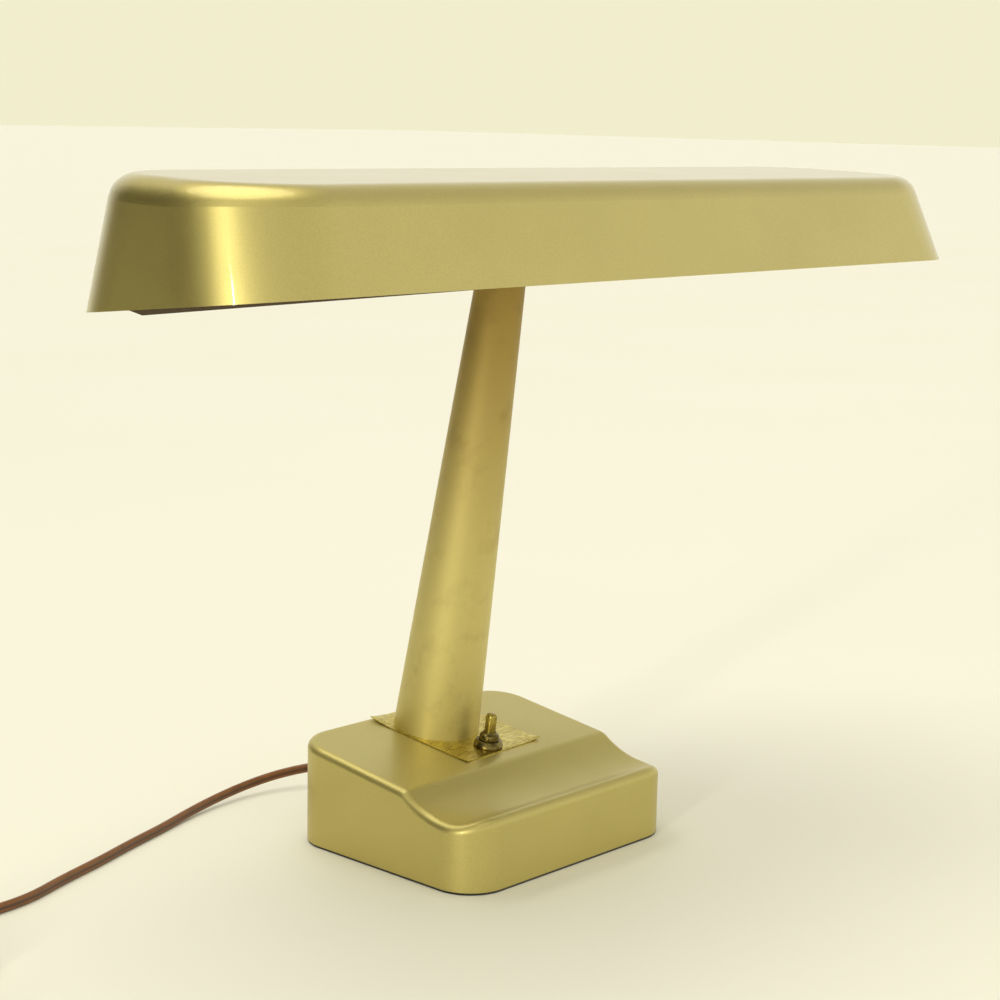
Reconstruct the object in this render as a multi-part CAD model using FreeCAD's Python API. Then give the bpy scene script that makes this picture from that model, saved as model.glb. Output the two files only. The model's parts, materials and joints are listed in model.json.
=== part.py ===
import FreeCAD, Part
import math
import os
from FreeCAD import Placement, Rotation, Vector

# Fluorescent desk lamp: a wedge base with a pen groove, a leaning tapered post and a long
# metal shade. Millimetres and degrees. X runs along the shade, -Y is the front, +Z is up,
# and the origin is the middle of the base's underside.

# ---- driving dimensions -------------------------------------------------------------
BASE_W = 153.0           # along X
BASE_D = 127.0           # along Y
BASE_CORNER = 21.0
BASE_BACK_H = 54.0       # top of the base at its back face
TOP_SLOPE = 7.33         # the top falls this much towards the front
BASE_EDGE_R = 4.0
SHELL_WALL = 3.0
SHELL_ROOF_EXTRA = 0.3   # the cast top is this much thicker than the walls
FELT_T = 1.2
FELT_INSET = 0.4
PLATE_T = 1.5            # steel bottom plate
PLATE_GAP = 0.3
PLATE_TOP = FELT_T + PLATE_T
BOSS_INSET = 17.0        # screw bosses stand this far in from the base's sides
BOSS_R = 5.0
BOSS_SCREW_R = 1.5
BOSS_SCREW_L = 10.0
BOSS_HEAD_R = 3.1

GROOVE_Y = -47.0         # lowest line of the pen groove
GROOVE_Z = 33.5
GROOVE_BACK_R = 49.0     # long hollow behind the lowest line
GROOVE_FRONT_R = 19.5    # short hollow in front of it
GROOVE_LIP_R = 9.0
GROOVE_RISE = 27.0       # the short hollow climbs through this angle
BREAK_R = 9.0            # rounding where the top turns down into the groove

POST_Y = 35.2            # where the post's axis meets the base's top
POST_LEAN = 9.45
POST_L = 243.5           # along the axis, from the base's top to the underside of the pan
POST_R_FOOT = 22.3
POST_R_TOP = 12.2
POST_WALL = 1.2
POST_SUNK = 6.0          # the tube is cut square this far below the plate, then trimmed
POST_HEAD_GAP = 0.15
ROD_R = 4.8              # threaded lamp pipe that ties the head to the base
ROD_BORE_R = 3.4
ROD_HOLE_R = ROD_R + 0.7
ROD_BELOW = 16.0
ROD_ABOVE = 12.0
NUT_ACROSS = 17.0
NUT_H = 6.0
WASHER_R = 11.0
WASHER_T = 1.6
LOWER_NUT_Z = -5.6       # top of the lower nut, below the sloping top
DISC_T = 2.0
DISC_GAP = 0.15
DISC_LOW = 5.0           # the centring discs sit this far up the post, and down from its top
DISC_HIGH = 9.0
POST_LEAD_R = 2.8

ESC_W = 57.0             # brass escutcheon under the post and the switch
ESC_D = 68.0
ESC_T = 0.5
ESC_X = 4.9
ESC_Y = 26.6
ESC_TURN = 2.2

SWITCH_X = 3.3
SWITCH_Y = 1.0
BUTTON_TRAVEL = 3.0
BUTTON_R = 2.85
BUTTON_FIT = 0.08
BUTTON_TOP = 18.2        # heights on the switch are above the base's sloping top
BUTTON_CAP_H = 1.4
BUTTON_CAP_TAPER = 0.9
BUTTON_WAIST = 0.45
BUTTON_FLANGE_R = 4.4
BUTTON_FLANGE_T = 1.6
BUTTON_FOOT = -9.8
SWITCH_BUSH_R = 4.65
SWITCH_HOLE_R = SWITCH_BUSH_R + 0.3
BUSH_TOP = 7.2
BUSH_SUNK = 4.0
BODY_TOP = -SHELL_WALL - 0.6
BODY_H = 22.0
BODY_FLOOR = BODY_TOP - BODY_H
BODY_X = 26.0
BODY_Y = 17.0
BODY_ROOM_R = 5.0
BODY_SKIN = 2.0
NUT_STEPS = [            # lower radius, upper radius, lower height, upper height
    (7.45, 7.45, ESC_T, 2.2),
    (7.45, 5.9, 2.2, 3.2),
    (6.3, 5.6, 3.2, 4.6),
]
SPRING_WIRE_R = 0.35
SPRING_R = 3.2
SPRING_TURNS = 5.0

BALLAST_X = -45.0
BALLAST_Y = 4.0
CORE_X = 30.0            # lamination stack, along X, Y and Z
CORE_Y = 56.0
CORE_H = 26.0
CORE_BAR = 6.0           # steel above and below each window
WINDOW_Y = 14.0          # middle of each window, from the core's middle
WINDOW_W = 11.0
PAD_T = 1.2
COIL_GAP = 0.4
COIL_PROUD = 6.0
STRAP_T = 1.2
STRAP_W = 18.0
STRAP_FOOT = 15.0
RIVET_Y = 37.0
RIVET_R = 1.5
RIVET_HEAD_R = 3.0
RIVET_HEAD_H = 1.6
RIVET_HOLE_R = 1.6

SHADE_X = 2.6            # centre of the rim
SHADE_Y = -46.3
SHADE_Z = 287.2
SHADE_L = 516.2
SHADE_D = 134.6
SHADE_CORNER = 48.0
RIM_TILT = 6.2           # the rim's front is higher than its back by this angle
TOP_X = -0.3
TOP_L = 497.4            # the top before its shoulder is rounded
TOP_CORNER = 46.5
TOP_FRONT_Y = -99.4
TOP_FRONT_Z = 337.3
TOP_BACK_Y = 9.6
TOP_BACK_Z = 340.4
SHOULDER_R = 12.5
SHEET = 0.9
SHEET_OVERRUN = 3.0      # the shade's inside is cut this far past the rim

PAN_HALF_L = 245.0       # wiring pan on top of the post, square to the post
PAN_FRONT = -30.2
PAN_BACK = 16.0
PAN_BACK_CORNER = 30.0
PAN_H = 22.0
PAN_T = 1.0
PAN_ROLL = 0.50          # the pan's left end hangs a little lower
LEAD_X = 226.0           # where the lamp leads leave the pan for the holders
LEAD_Z = 15.0
LEAD_END_Z = 20.0
LEAD_R = 1.5
LEAD_HOLE_R = 3.2
STRAP_X = 120.0          # shade hangers, each side of the post
STRAP_Y = -12.0
HANGER_T = 1.5
HANGER_HALF_W = 11.0
HANGER_HEAD = 20.0
WELD_GAP = 0.15
HANGER_LIFT = 0.05
HANGER_SCREW_Y = 6.0     # the two screws of a hanger stand this far from its middle
HANGER_SCREW_R = 2.0
HANGER_HOLE_R = 2.2
HANGER_SCREW_L = 8.0
HANGER_HEAD_R = 3.8
HANGER_HEAD_H = 2.2
HANGER_NUT = 7.0
HANGER_NUT_H = 3.0

TUBE_Y = -59.0           # 15 W tube, 26 mm across, in the pan's own axes
TUBE_Z = 34.5
TUBE_R = 12.7
TUBE_HALF_L = 218.7      # cap face to cap face is twice this
CAP_R = 13.0
CAP_L = 13.0
PIN_R = 1.18
PIN_L = 7.0
PIN_GAP = 12.7
GLASS_T = 0.8
CAP_FACE = 1.4           # thickness of a cap's flat end
CAP_FIT = 0.05
GLASS_GAP = 1.5

HOLDER_IN = TUBE_HALF_L + 0.8
HOLDER_T = 12.5
HOLDER_OUT = HOLDER_IN + HOLDER_T
HOLDER_HALF_W = 12.0
HOLDER_LOW = TUBE_Z - 19.0
HOLDER_WELL_R = 8.4
HOLDER_WELL_L = 8.5
HOLDER_SLOT_H = 3.4
HOLDER_LEAD_R = 2.4
ARM_T = 1.2
ARM_HALF_W = 9.0
ARM_FOOT = 19.0          # length of the arm's foot along the pan
ARM_LOW = 5.0            # the foot's lower and upper edges
ARM_HIGH = 20.5
ARM_MIDDLE = 12.0        # the lower edge climbs through these heights to the holder
ARM_END = 16.5
SCREW_Z = TUBE_Z - 14.0
HOLDER_SCREW_R = 1.5
HOLDER_SCREW_L = 6.0
HOLDER_HEAD_R = 3.0
HOLDER_HEAD_H = 2.0

CORD_R = 2.5
CORD_EXIT_Z = 16.0
RELIEF_L = 22.5
RELIEF_NECK_R = 4.2
RELIEF_FLANGE_R = 6.2
RELIEF_FLANGE_T = 2.2
RELIEF_COLLAR_R = 6.4
RELIEF_COLLAR_T = 2.5
RELIEF_R = 5.2
RELIEF_END_R = 3.2
EXIT_Y = BASE_D / 2 + RELIEF_L
CORD_ROUTE = [
    (0.0, 104.0, 14.6),
    (-8.0, 119.5, 11.4),
    (-25.0, 128.5, 9.0),
    (-46.0, 131.5, 6.6),
    (-69.0, 129.5, 4.6),
    (-93.0, 124.0, 3.2),
    (-118.0, 115.0, 2.6),
    (-145.0, 106.5, 2.6),
    (-172.0, 96.5, 2.6),
    (-200.0, 88.0, 2.6),
    (-226.0, 78.0, 2.6),
    (-252.0, 76.5, 2.6),
    (-284.0, 80.0, 2.6),
]
COIL_X = -314.0
COIL_Y = 46.0
COIL_MEAN_R = 29.0
COIL_BAND = 15.0
COIL_H = 15.2
COIL_ROUND = 2.4
REST_GAP = 0.1           # coil and tie clear the table by this
TIE_T = 0.8
TIE_W = 5.0
TIE_GAP = 0.1
TIE_TURN = 250.0
TAIL_ROUTE = [
    (-346.5, 32.0, 12.2),
    (-348.5, 14.0, 9.6),
]
PLUG_X = -350.0
PLUG_Y = -2.0            # the face where the cord goes in
PLUG_Z = 8.0
PLUG_SECTIONS = [        # width, height, corner radius, distance from the cord's face
    (12.0, 10.0, 3.5, 0.0),
    (15.0, 12.0, 4.5, 11.0),
    (25.0, 16.0, 5.0, 24.0),
    (25.0, 16.0, 5.0, 31.0),
]
BLADE_OFF = 6.35
BLADE_T = 1.5
BLADE_W = 6.34
BLADE_L = 17.0
BLADE_HOLE_R = 1.5
BLADE_HOLE_AT = 12.5


# ---- frames -------------------------------------------------------------------------
def top_height(y):
    """Height of the base's sloping top at y."""
    return BASE_BACK_H - math.tan(math.radians(TOP_SLOPE)) * (BASE_D / 2 - y)


def on_top(x, y):
    """Frame on the base's top: its Z is square to the slope."""
    return Placement(Vector(x, y, top_height(y)), Rotation(Vector(1, 0, 0), TOP_SLOPE))


def post_frame(along):
    """Frame on the post's axis, this far up from the base's top."""
    lean = math.radians(POST_LEAN)
    axis = Vector(0, -math.sin(lean), math.cos(lean))
    foot = Vector(0, POST_Y, top_height(POST_Y))
    return Placement(foot + axis * along, Rotation(Vector(1, 0, 0), POST_LEAN))


SWITCH = on_top(SWITCH_X, SWITCH_Y)
FOOT = post_frame(0)
HEAD = post_frame(POST_L)
PAN = HEAD.multiply(Placement(Vector(0, 0, 0), Rotation(Vector(0, 1, 0), -PAN_ROLL)))


def placed(shape, frame):
    shape = shape.copy()
    shape.Placement = frame.multiply(shape.Placement)
    return shape


# ---- plain shapes -------------------------------------------------------------------
def box(x0, x1, y0, y1, z0, z1):
    return Part.makeBox(x1 - x0, y1 - y0, z1 - z0, Vector(x0, y0, z0))


def rod(radius, z0, z1, x=0.0, y=0.0):
    return Part.makeCylinder(radius, z1 - z0, Vector(x, y, z0), Vector(0, 0, 1))


def rod_x(radius, x0, x1, y, z):
    return Part.makeCylinder(radius, x1 - x0, Vector(x0, y, z), Vector(1, 0, 0))


def rod_y(radius, y0, y1, x, z):
    return Part.makeCylinder(radius, y1 - y0, Vector(x, y0, z), Vector(0, 1, 0))


def ring(outer, inner, z0, z1):
    return rod(outer, z0, z1).cut(rod(inner, z0 - 1, z1 + 1))


def hexagon(across, z0, z1, bore):
    corner = across / math.sqrt(3)
    turns = [math.radians(60 * i) for i in range(7)]
    points = [Vector(corner * math.cos(a), corner * math.sin(a), z0) for a in turns]
    prism = Part.Face(Part.makePolygon(points)).extrude(Vector(0, 0, z1 - z0))
    return prism.cut(rod(bore, z0 - 1, z1 + 1))


def group(shapes):
    return Part.makeCompound(shapes)


def rounded_wire(width, depth, corner, place):
    """Rounded rectangle about the frame's origin, as a closed wire."""
    x = width / 2
    y = depth / 2
    edges = []
    centres = [(1, -1, -90), (1, 1, 0), (-1, 1, 90), (-1, -1, 180)]
    arcs = []
    for sx, sy, start in centres:
        cx = sx * (x - corner)
        cy = sy * (y - corner)
        angles = [math.radians(start + step) for step in (0, 45, 90)]
        arcs.append([Vector(cx + corner * math.cos(a), cy + corner * math.sin(a), 0)
                     for a in angles])
    for i, arc in enumerate(arcs):
        edges.append(Part.Arc(*arc).toShape())
        edges.append(Part.LineSegment(arc[2], arcs[(i + 1) % 4][0]).toShape())
    wire = Part.Wire(edges)
    wire.Placement = place
    return wire


def rounded_block(width, depth, corner, z0, z1):
    wire = rounded_wire(width, depth, corner, Placement(Vector(0, 0, z0), Rotation()))
    return Part.Face(wire).extrude(Vector(0, 0, z1 - z0))


def screw(head_r, head_h, shank_r, length):
    """Screw with its head below z = 0 and its shank going up."""
    head = rod(head_r, -head_h, 0)
    slot = box(-head_r - 1, head_r + 1, -0.5, 0.5, -head_h - 1, -head_h * 0.5)
    return head.cut(slot).fuse(rod(shank_r, 0, length))


# ---- base ---------------------------------------------------------------------------
def groove_profile(drop):
    """Side outline of the base's top and groove, lowered by drop, from back to front."""
    slope = math.tan(math.radians(TOP_SLOPE))
    hollow_z = GROOVE_Z + GROOVE_BACK_R
    # The break is an arc tangent to the slope and to the long hollow.
    down = math.radians(TOP_SLOPE)
    gap = GROOVE_BACK_R + BREAK_R

    def miss(y):
        z = top_height(y) - BREAK_R / math.cos(down)
        return math.hypot(y - GROOVE_Y, z - hollow_z) - gap

    low = GROOVE_Y
    high = GROOVE_Y + gap
    for _ in range(60):
        middle = (low + high) / 2
        if miss(middle) < 0:
            low = middle
        else:
            high = middle
    break_y = low
    break_z = top_height(break_y) - BREAK_R / math.cos(down)
    toward = math.atan2(hollow_z - break_z, GROOVE_Y - break_y)
    first = Vector(0, break_y - BREAK_R * math.sin(down), break_z + BREAK_R * math.cos(down))
    last = Vector(0, break_y + BREAK_R * math.cos(toward), break_z + BREAK_R * math.sin(toward))
    middle_turn = (math.pi / 2 + down + toward) / 2
    break_mid = Vector(0, break_y + BREAK_R * math.cos(middle_turn),
                       break_z + BREAK_R * math.sin(middle_turn))
    # From there the long hollow runs down to the lowest line.
    start = math.atan2(last.z - hollow_z, last.y - GROOVE_Y)
    half = (start - math.pi / 2) / 2
    hollow_mid = Vector(0, GROOVE_Y + GROOVE_BACK_R * math.cos(half),
                        hollow_z + GROOVE_BACK_R * math.sin(half))
    lowest = Vector(0, GROOVE_Y, GROOVE_Z)
    # The short hollow rises to the lip, which rounds over to level.
    rise = math.radians(GROOVE_RISE)
    front_z = GROOVE_Z + GROOVE_FRONT_R
    front_mid = Vector(0, GROOVE_Y - GROOVE_FRONT_R * math.sin(rise / 2),
                       front_z - GROOVE_FRONT_R * math.cos(rise / 2))
    front_end = Vector(0, GROOVE_Y - GROOVE_FRONT_R * math.sin(rise),
                       front_z - GROOVE_FRONT_R * math.cos(rise))
    lip_y = front_end.y - GROOVE_LIP_R * math.sin(rise)
    lip_z = front_end.z - GROOVE_LIP_R * math.cos(rise)
    lip_mid = Vector(0, lip_y + GROOVE_LIP_R * math.sin(rise / 2),
                     lip_z + GROOVE_LIP_R * math.cos(rise / 2))
    lip_top = Vector(0, lip_y, lip_z + GROOVE_LIP_R)
    beyond = BASE_D / 2 + 5
    back = Vector(0, beyond, first.z + slope * (beyond - first.y))
    front = Vector(0, -beyond, lip_top.z)
    low_z = -5.0
    edges = [
        Part.LineSegment(Vector(0, beyond, low_z), back),
        Part.LineSegment(back, first),
        Part.Arc(first, break_mid, last),
        Part.Arc(last, hollow_mid, lowest),
        Part.Arc(lowest, front_mid, front_end),
        Part.Arc(front_end, lip_mid, lip_top),
        Part.LineSegment(lip_top, front),
        Part.LineSegment(front, Vector(0, -beyond, low_z)),
        Part.LineSegment(Vector(0, -beyond, low_z), Vector(0, beyond, low_z)),
    ]
    wire = Part.Wire([edge.toShape() for edge in edges])
    wire.translate(Vector(-BASE_W, 0, -drop))
    return Part.Face(wire).extrude(Vector(2 * BASE_W, 0, 0))


def base_outer():
    block = rounded_block(BASE_W, BASE_D, BASE_CORNER, FELT_T, BASE_BACK_H + 10)
    body = block.common(groove_profile(0)).removeSplitter()
    crown = []
    for edge in body.Edges:
        low = edge.BoundBox.ZMin > GROOVE_Z - 2
        middle = edge.valueAt((edge.FirstParameter + edge.LastParameter) / 2)
        x = abs(middle.x)
        y = abs(middle.y)
        wall = x > BASE_W / 2 - 0.01 or y > BASE_D / 2 - 0.01
        corner = math.hypot(x - BASE_W / 2 + BASE_CORNER, y - BASE_D / 2 + BASE_CORNER)
        on_corner = abs(corner - BASE_CORNER) < 0.01
        upright = edge.BoundBox.ZLength > 20
        if low and (wall or on_corner) and not upright:
            crown.append(edge)
    return body.makeFillet(BASE_EDGE_R, crown)


BOSSES = [(sx * (BASE_W / 2 - BOSS_INSET), sy * (BASE_D / 2 - BOSS_INSET))
          for sx in (-1, 1) for sy in (-1, 1)]
BALLAST_FEET = [(BALLAST_X, BALLAST_Y - RIVET_Y), (BALLAST_X, BALLAST_Y + RIVET_Y)]
BALLAST = Placement(Vector(BALLAST_X, BALLAST_Y, 0), Rotation())
CORE_Z0 = PLATE_TOP + PAD_T
CORE_TOP = CORE_Z0 + CORE_H


def base_shell():
    room = rounded_block(BASE_W - 2 * SHELL_WALL, BASE_D - 2 * SHELL_WALL,
                         BASE_CORNER - SHELL_WALL, 0, BASE_BACK_H)
    room = room.common(groove_profile(SHELL_WALL + SHELL_ROOF_EXTRA))
    shell = base_outer().cut(room)
    for x, y in BOSSES:
        boss = rod(BOSS_R, PLATE_TOP, BASE_BACK_H, x, y).common(groove_profile(SHELL_WALL / 2))
        drilled = rod(BOSS_SCREW_R, 0, PLATE_TOP + BOSS_SCREW_L + 1, x, y)
        shell = shell.fuse(boss).cut(drilled)
    through = 4 * SHELL_WALL
    shell = shell.cut(placed(rod(ROD_HOLE_R, -through, through), FOOT))
    shell = shell.cut(placed(rod(SWITCH_HOLE_R, -through, through), SWITCH))
    return shell.cut(rod_y(RELIEF_NECK_R, BASE_D / 2 - through, BASE_D / 2 + 1, 0, CORD_EXIT_Z))


def bottom_plate():
    inset = SHELL_WALL + PLATE_GAP
    plate = rounded_block(BASE_W - 2 * inset, BASE_D - 2 * inset, BASE_CORNER - inset,
                          FELT_T, PLATE_TOP)
    for x, y in BOSSES:
        plate = plate.cut(countersunk(0.1, x, y))
    for x, y in BALLAST_FEET:
        plate = plate.cut(rod(RIVET_HOLE_R, 0, PLATE_TOP + 1, x, y))
    return plate


def countersunk(gap, x, y):
    """Cone of a bottom screw's head, wider by gap for the hole that takes it."""
    return Part.makeCone(BOSS_HEAD_R + gap, BOSS_SCREW_R + 0.1 + gap, PLATE_T,
                         Vector(x, y, FELT_T), Vector(0, 0, 1))


def felt_pad():
    return rounded_block(BASE_W - 2 * FELT_INSET, BASE_D - 2 * FELT_INSET,
                         BASE_CORNER - FELT_INSET, 0, FELT_T)


def bottom_screws():
    screws = []
    for x, y in BOSSES:
        shank = rod(BOSS_SCREW_R, PLATE_TOP - 0.1, PLATE_TOP + BOSS_SCREW_L, x, y)
        screws.append(countersunk(0, x, y).fuse(shank))
    return group(screws)


def ballast_core():
    """Stacked steel laminations with a window each side of the middle limb."""
    x = CORE_X / 2
    core = box(-x, x, -CORE_Y / 2, CORE_Y / 2, CORE_Z0, CORE_TOP)
    for side in (-1, 1):
        middle = side * WINDOW_Y
        window = box(-x - 1, x + 1, middle - WINDOW_W / 2, middle + WINDOW_W / 2,
                     CORE_Z0 + CORE_BAR, CORE_TOP - CORE_BAR)
        core = core.cut(window)
    return placed(core, BALLAST)


def ballast_coil():
    """Winding on the middle limb, through both windows."""
    x = CORE_X / 2
    limb = WINDOW_Y - WINDOW_W / 2
    reach = WINDOW_Y + WINDOW_W / 2
    low = CORE_Z0 + CORE_BAR + COIL_GAP
    high = CORE_TOP - CORE_BAR - COIL_GAP
    inner = box(-x - COIL_GAP, x + COIL_GAP, -limb - COIL_GAP / 4, limb + COIL_GAP / 4,
                CORE_Z0, CORE_TOP)
    outer = box(-x - COIL_PROUD, x + COIL_PROUD, -reach + COIL_GAP, reach - COIL_GAP, low, high)
    return placed(outer.cut(inner), BALLAST)


def ballast_strap():
    """Steel strap over the core with a foot at each end."""
    half = STRAP_W / 2
    y = CORE_Y / 2
    strap = box(-half, half, -y - STRAP_T, y + STRAP_T, PLATE_TOP, CORE_TOP + STRAP_T)
    for side in (-1, 1):
        first, last = sorted((side * y, side * (y + STRAP_FOOT)))
        foot = box(-half, half, first, last, PLATE_TOP, PLATE_TOP + STRAP_T)
        strap = strap.fuse(foot.cut(rod(RIVET_HOLE_R, 0, CORE_TOP, 0, side * RIVET_Y)))
    room = box(-half - 1, half + 1, -y, y, 0, CORE_TOP)
    return placed(strap.cut(room), BALLAST)


def ballast_pad():
    """Insulating strip that the core stands on."""
    return placed(box(-CORE_X / 2, CORE_X / 2, -CORE_Y / 2, CORE_Y / 2, PLATE_TOP, CORE_Z0),
                  BALLAST)


def ballast_rivets():
    rivets = []
    seat = PLATE_TOP + STRAP_T
    for x, y in BALLAST_FEET:
        shank = rod(RIVET_R, FELT_T, seat, x, y)
        rivets.append(shank.fuse(rod(RIVET_HEAD_R, seat, seat + RIVET_HEAD_H, x, y)))
    return group(rivets)


# ---- post ---------------------------------------------------------------------------
def post_radius(along):
    return POST_R_FOOT + (POST_R_TOP - POST_R_FOOT) * along / POST_L


def above_plate():
    """Everything that stands on the escutcheon round the post."""
    half = ESC_D
    return placed(box(-half, half, -half, half, ESC_T, 2 * POST_L), on_top(0, POST_Y))


def post_tube():
    start = -POST_SUNK
    end = POST_L - POST_HEAD_GAP
    outer = Part.makeCone(post_radius(start), post_radius(end), end - start,
                          Vector(0, 0, start))
    inner = Part.makeCone(post_radius(start) - POST_WALL, post_radius(end + 1) - POST_WALL,
                          end + 1 - start, Vector(0, 0, start))
    return placed(outer.cut(inner), FOOT).common(above_plate())


def centring_disc(along):
    low = post_radius(along) - POST_WALL - DISC_GAP
    high = post_radius(along + DISC_T) - POST_WALL - DISC_GAP
    disc = Part.makeCone(low, high, DISC_T, Vector(0, 0, along))
    return placed(disc.cut(rod(ROD_R + 0.1, along - 1, along + DISC_T + 1)), FOOT)


def tie_rod():
    return placed(ring(ROD_R, ROD_BORE_R, -ROD_BELOW, POST_L + ROD_ABOVE), FOOT)


def lower_washer():
    under = -SHELL_WALL - SHELL_ROOF_EXTRA - 0.05
    return placed(ring(WASHER_R, ROD_R + 0.5, under - WASHER_T, under), on_top(0, POST_Y))


def lower_nut():
    return placed(hexagon(NUT_ACROSS, LOWER_NUT_Z - NUT_H, LOWER_NUT_Z, ROD_R), FOOT)


def upper_washer():
    return placed(ring(WASHER_R, ROD_R + 0.1, PAN_T + WELD_GAP, PAN_T + WASHER_T), HEAD)


def upper_nut():
    return placed(hexagon(NUT_ACROSS, PAN_T + WASHER_T, PAN_T + WASHER_T + NUT_H, ROD_R), HEAD)


def post_leads():
    """Twisted lamp leads that run up through the tie rod, as one bundle."""
    return placed(rod(POST_LEAD_R, -ROD_BELOW - 8, POST_L + ROD_ABOVE + 5), FOOT)


def escutcheon():
    plate = box(-ESC_W / 2, ESC_W / 2, -ESC_D / 2, ESC_D / 2, 0, ESC_T)
    turn = Placement(Vector(0, 0, 0), Rotation(Vector(0, 0, 1), ESC_TURN))
    plate = placed(placed(plate, turn), on_top(ESC_X, ESC_Y))
    plate = plate.cut(placed(rod(ROD_HOLE_R, -5, 5), FOOT))
    return plate.cut(placed(rod(SWITCH_HOLE_R, -5, 5), SWITCH))


# ---- switch -------------------------------------------------------------------------
def switch_body():
    outer = box(-BODY_X / 2, BODY_X / 2, -BODY_Y / 2, BODY_Y / 2, BODY_FLOOR, BODY_TOP)
    room = rod(BODY_ROOM_R, BODY_FLOOR + BODY_SKIN, BODY_TOP - BUSH_SUNK)
    mouth = rod(SWITCH_BUSH_R, BODY_TOP - BUSH_SUNK - 0.5, BODY_TOP + 1)
    return placed(outer.cut(room).cut(mouth), SWITCH)


def switch_bushing():
    tube = ring(SWITCH_BUSH_R, BUTTON_R + BUTTON_FIT, BODY_TOP - BUSH_SUNK, BUSH_TOP)
    return placed(tube, SWITCH)


def switch_nut():
    """Stepped round nut: a broad foot, a waist and a narrower crown."""
    steps = []
    for low, high, z0, z1 in NUT_STEPS:
        if low == high:
            steps.append(rod(low, z0, z1))
        else:
            steps.append(Part.makeCone(low, high, z1 - z0, Vector(0, 0, z0)))
    nut = steps[0].fuse(steps[1:])
    return placed(nut.cut(rod(SWITCH_BUSH_R, 0, BUSH_TOP)), SWITCH)


def switch_button():
    """Plunger with a waist under its domed cap and a flange inside the bushing's foot."""
    shoulder = BUTTON_TOP - BUTTON_CAP_H
    neck = rod(BUTTON_R, BUTTON_FOOT, shoulder)
    waist = ring(BUTTON_R + 1, BUTTON_R - BUTTON_WAIST, BUSH_TOP + BUTTON_TRAVEL + 0.5,
                 BUTTON_TOP - 5)
    cap = Part.makeCone(BUTTON_R, BUTTON_R - BUTTON_CAP_TAPER, BUTTON_CAP_H,
                        Vector(0, 0, shoulder))
    flange = rod(BUTTON_FLANGE_R, BUTTON_FOOT, BUTTON_FOOT + BUTTON_FLANGE_T)
    return placed(neck.cut(waist).fuse(cap).fuse(flange), SWITCH)


def switch_spring():
    """Coil spring between the button's flange and the floor of the switch."""
    rest = SPRING_WIRE_R + 0.02
    z0 = BODY_FLOOR + BODY_SKIN + rest
    height = BUTTON_FOOT - rest - z0
    helix = Part.makeHelix(height / SPRING_TURNS, height, SPRING_R)
    circle = Part.makeCircle(SPRING_WIRE_R, Vector(SPRING_R, 0, 0), Vector(0, 1, 0))
    spring = Part.Wire(helix.Edges).makePipeShell([Part.Wire([circle])], True, True)
    return placed(placed(spring, Placement(Vector(0, 0, z0), Rotation())), SWITCH)


# ---- head ---------------------------------------------------------------------------
def shade_solid(inset, shoulder, overrun):
    """The shade's form: a tilted rim lofted to the flatter top, with a round shoulder.

    The rim is carried on past its real edge by overrun, along the same slopes.
    """
    run = TOP_BACK_Y - TOP_FRONT_Y
    climb = TOP_BACK_Z - TOP_FRONT_Z
    slant = math.degrees(math.atan2(climb, run))
    top_d = math.hypot(run, climb)
    top_middle = Vector(TOP_X, (TOP_FRONT_Y + TOP_BACK_Y) / 2, (TOP_FRONT_Z + TOP_BACK_Z) / 2)
    rim_middle = Vector(SHADE_X, SHADE_Y, SHADE_Z)
    share = overrun / (top_middle.z - rim_middle.z)
    rim_l = SHADE_L + (SHADE_L - TOP_L) * share - 2 * inset
    rim_d = SHADE_D + (SHADE_D - top_d) * share - 2 * inset
    rim_middle = rim_middle + (rim_middle - top_middle) * share
    rim_place = Placement(rim_middle, Rotation(Vector(1, 0, 0), -RIM_TILT))
    top_place = Placement(top_middle - Vector(0, 0, inset), Rotation(Vector(1, 0, 0), slant))
    rim = rounded_wire(rim_l, rim_d, SHADE_CORNER - inset, rim_place)
    top = rounded_wire(TOP_L - 2 * inset, top_d - 2 * inset, TOP_CORNER - inset, top_place)
    form = Part.makeLoft([rim, top], True, True)
    crown = []
    for edge in form.Edges:
        middle_z = edge.valueAt((edge.FirstParameter + edge.LastParameter) / 2).z
        level = edge.BoundBox.ZLength < 8
        if middle_z > TOP_FRONT_Z - 5 and level:
            crown.append(edge)
    return form.makeFillet(shoulder, crown)


def shade_shell():
    inside = shade_solid(SHEET, SHOULDER_R - SHEET, SHEET_OVERRUN)
    return shade_solid(0, SHOULDER_R, 0).cut(inside)


def pan_outline(inset, z0, z1):
    half = PAN_HALF_L - inset
    front = PAN_FRONT + inset
    back = PAN_BACK - inset
    corner = PAN_BACK_CORNER - inset
    cut = corner * math.sqrt(0.5)
    points = [Vector(-half, front, z0), Vector(half, front, z0),
              Vector(half, back - corner, z0),
              Vector(half - corner + cut, back - corner + cut, z0),
              Vector(half - corner, back, z0), Vector(-half + corner, back, z0),
              Vector(-half + corner - cut, back - corner + cut, z0),
              Vector(-half, back - corner, z0)]
    edges = [
        Part.LineSegment(points[0], points[1]),
        Part.LineSegment(points[1], points[2]),
        Part.Arc(points[2], points[3], points[4]),
        Part.LineSegment(points[4], points[5]),
        Part.Arc(points[5], points[6], points[7]),
        Part.LineSegment(points[7], points[0]),
    ]
    face = Part.Face(Part.Wire([edge.toShape() for edge in edges]))
    return face.extrude(Vector(0, 0, z1 - z0))


HANGER_SCREWS = [(side * STRAP_X, STRAP_Y + step)
                 for side in (-1, 1) for step in (-HANGER_SCREW_Y, HANGER_SCREW_Y)]


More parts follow.
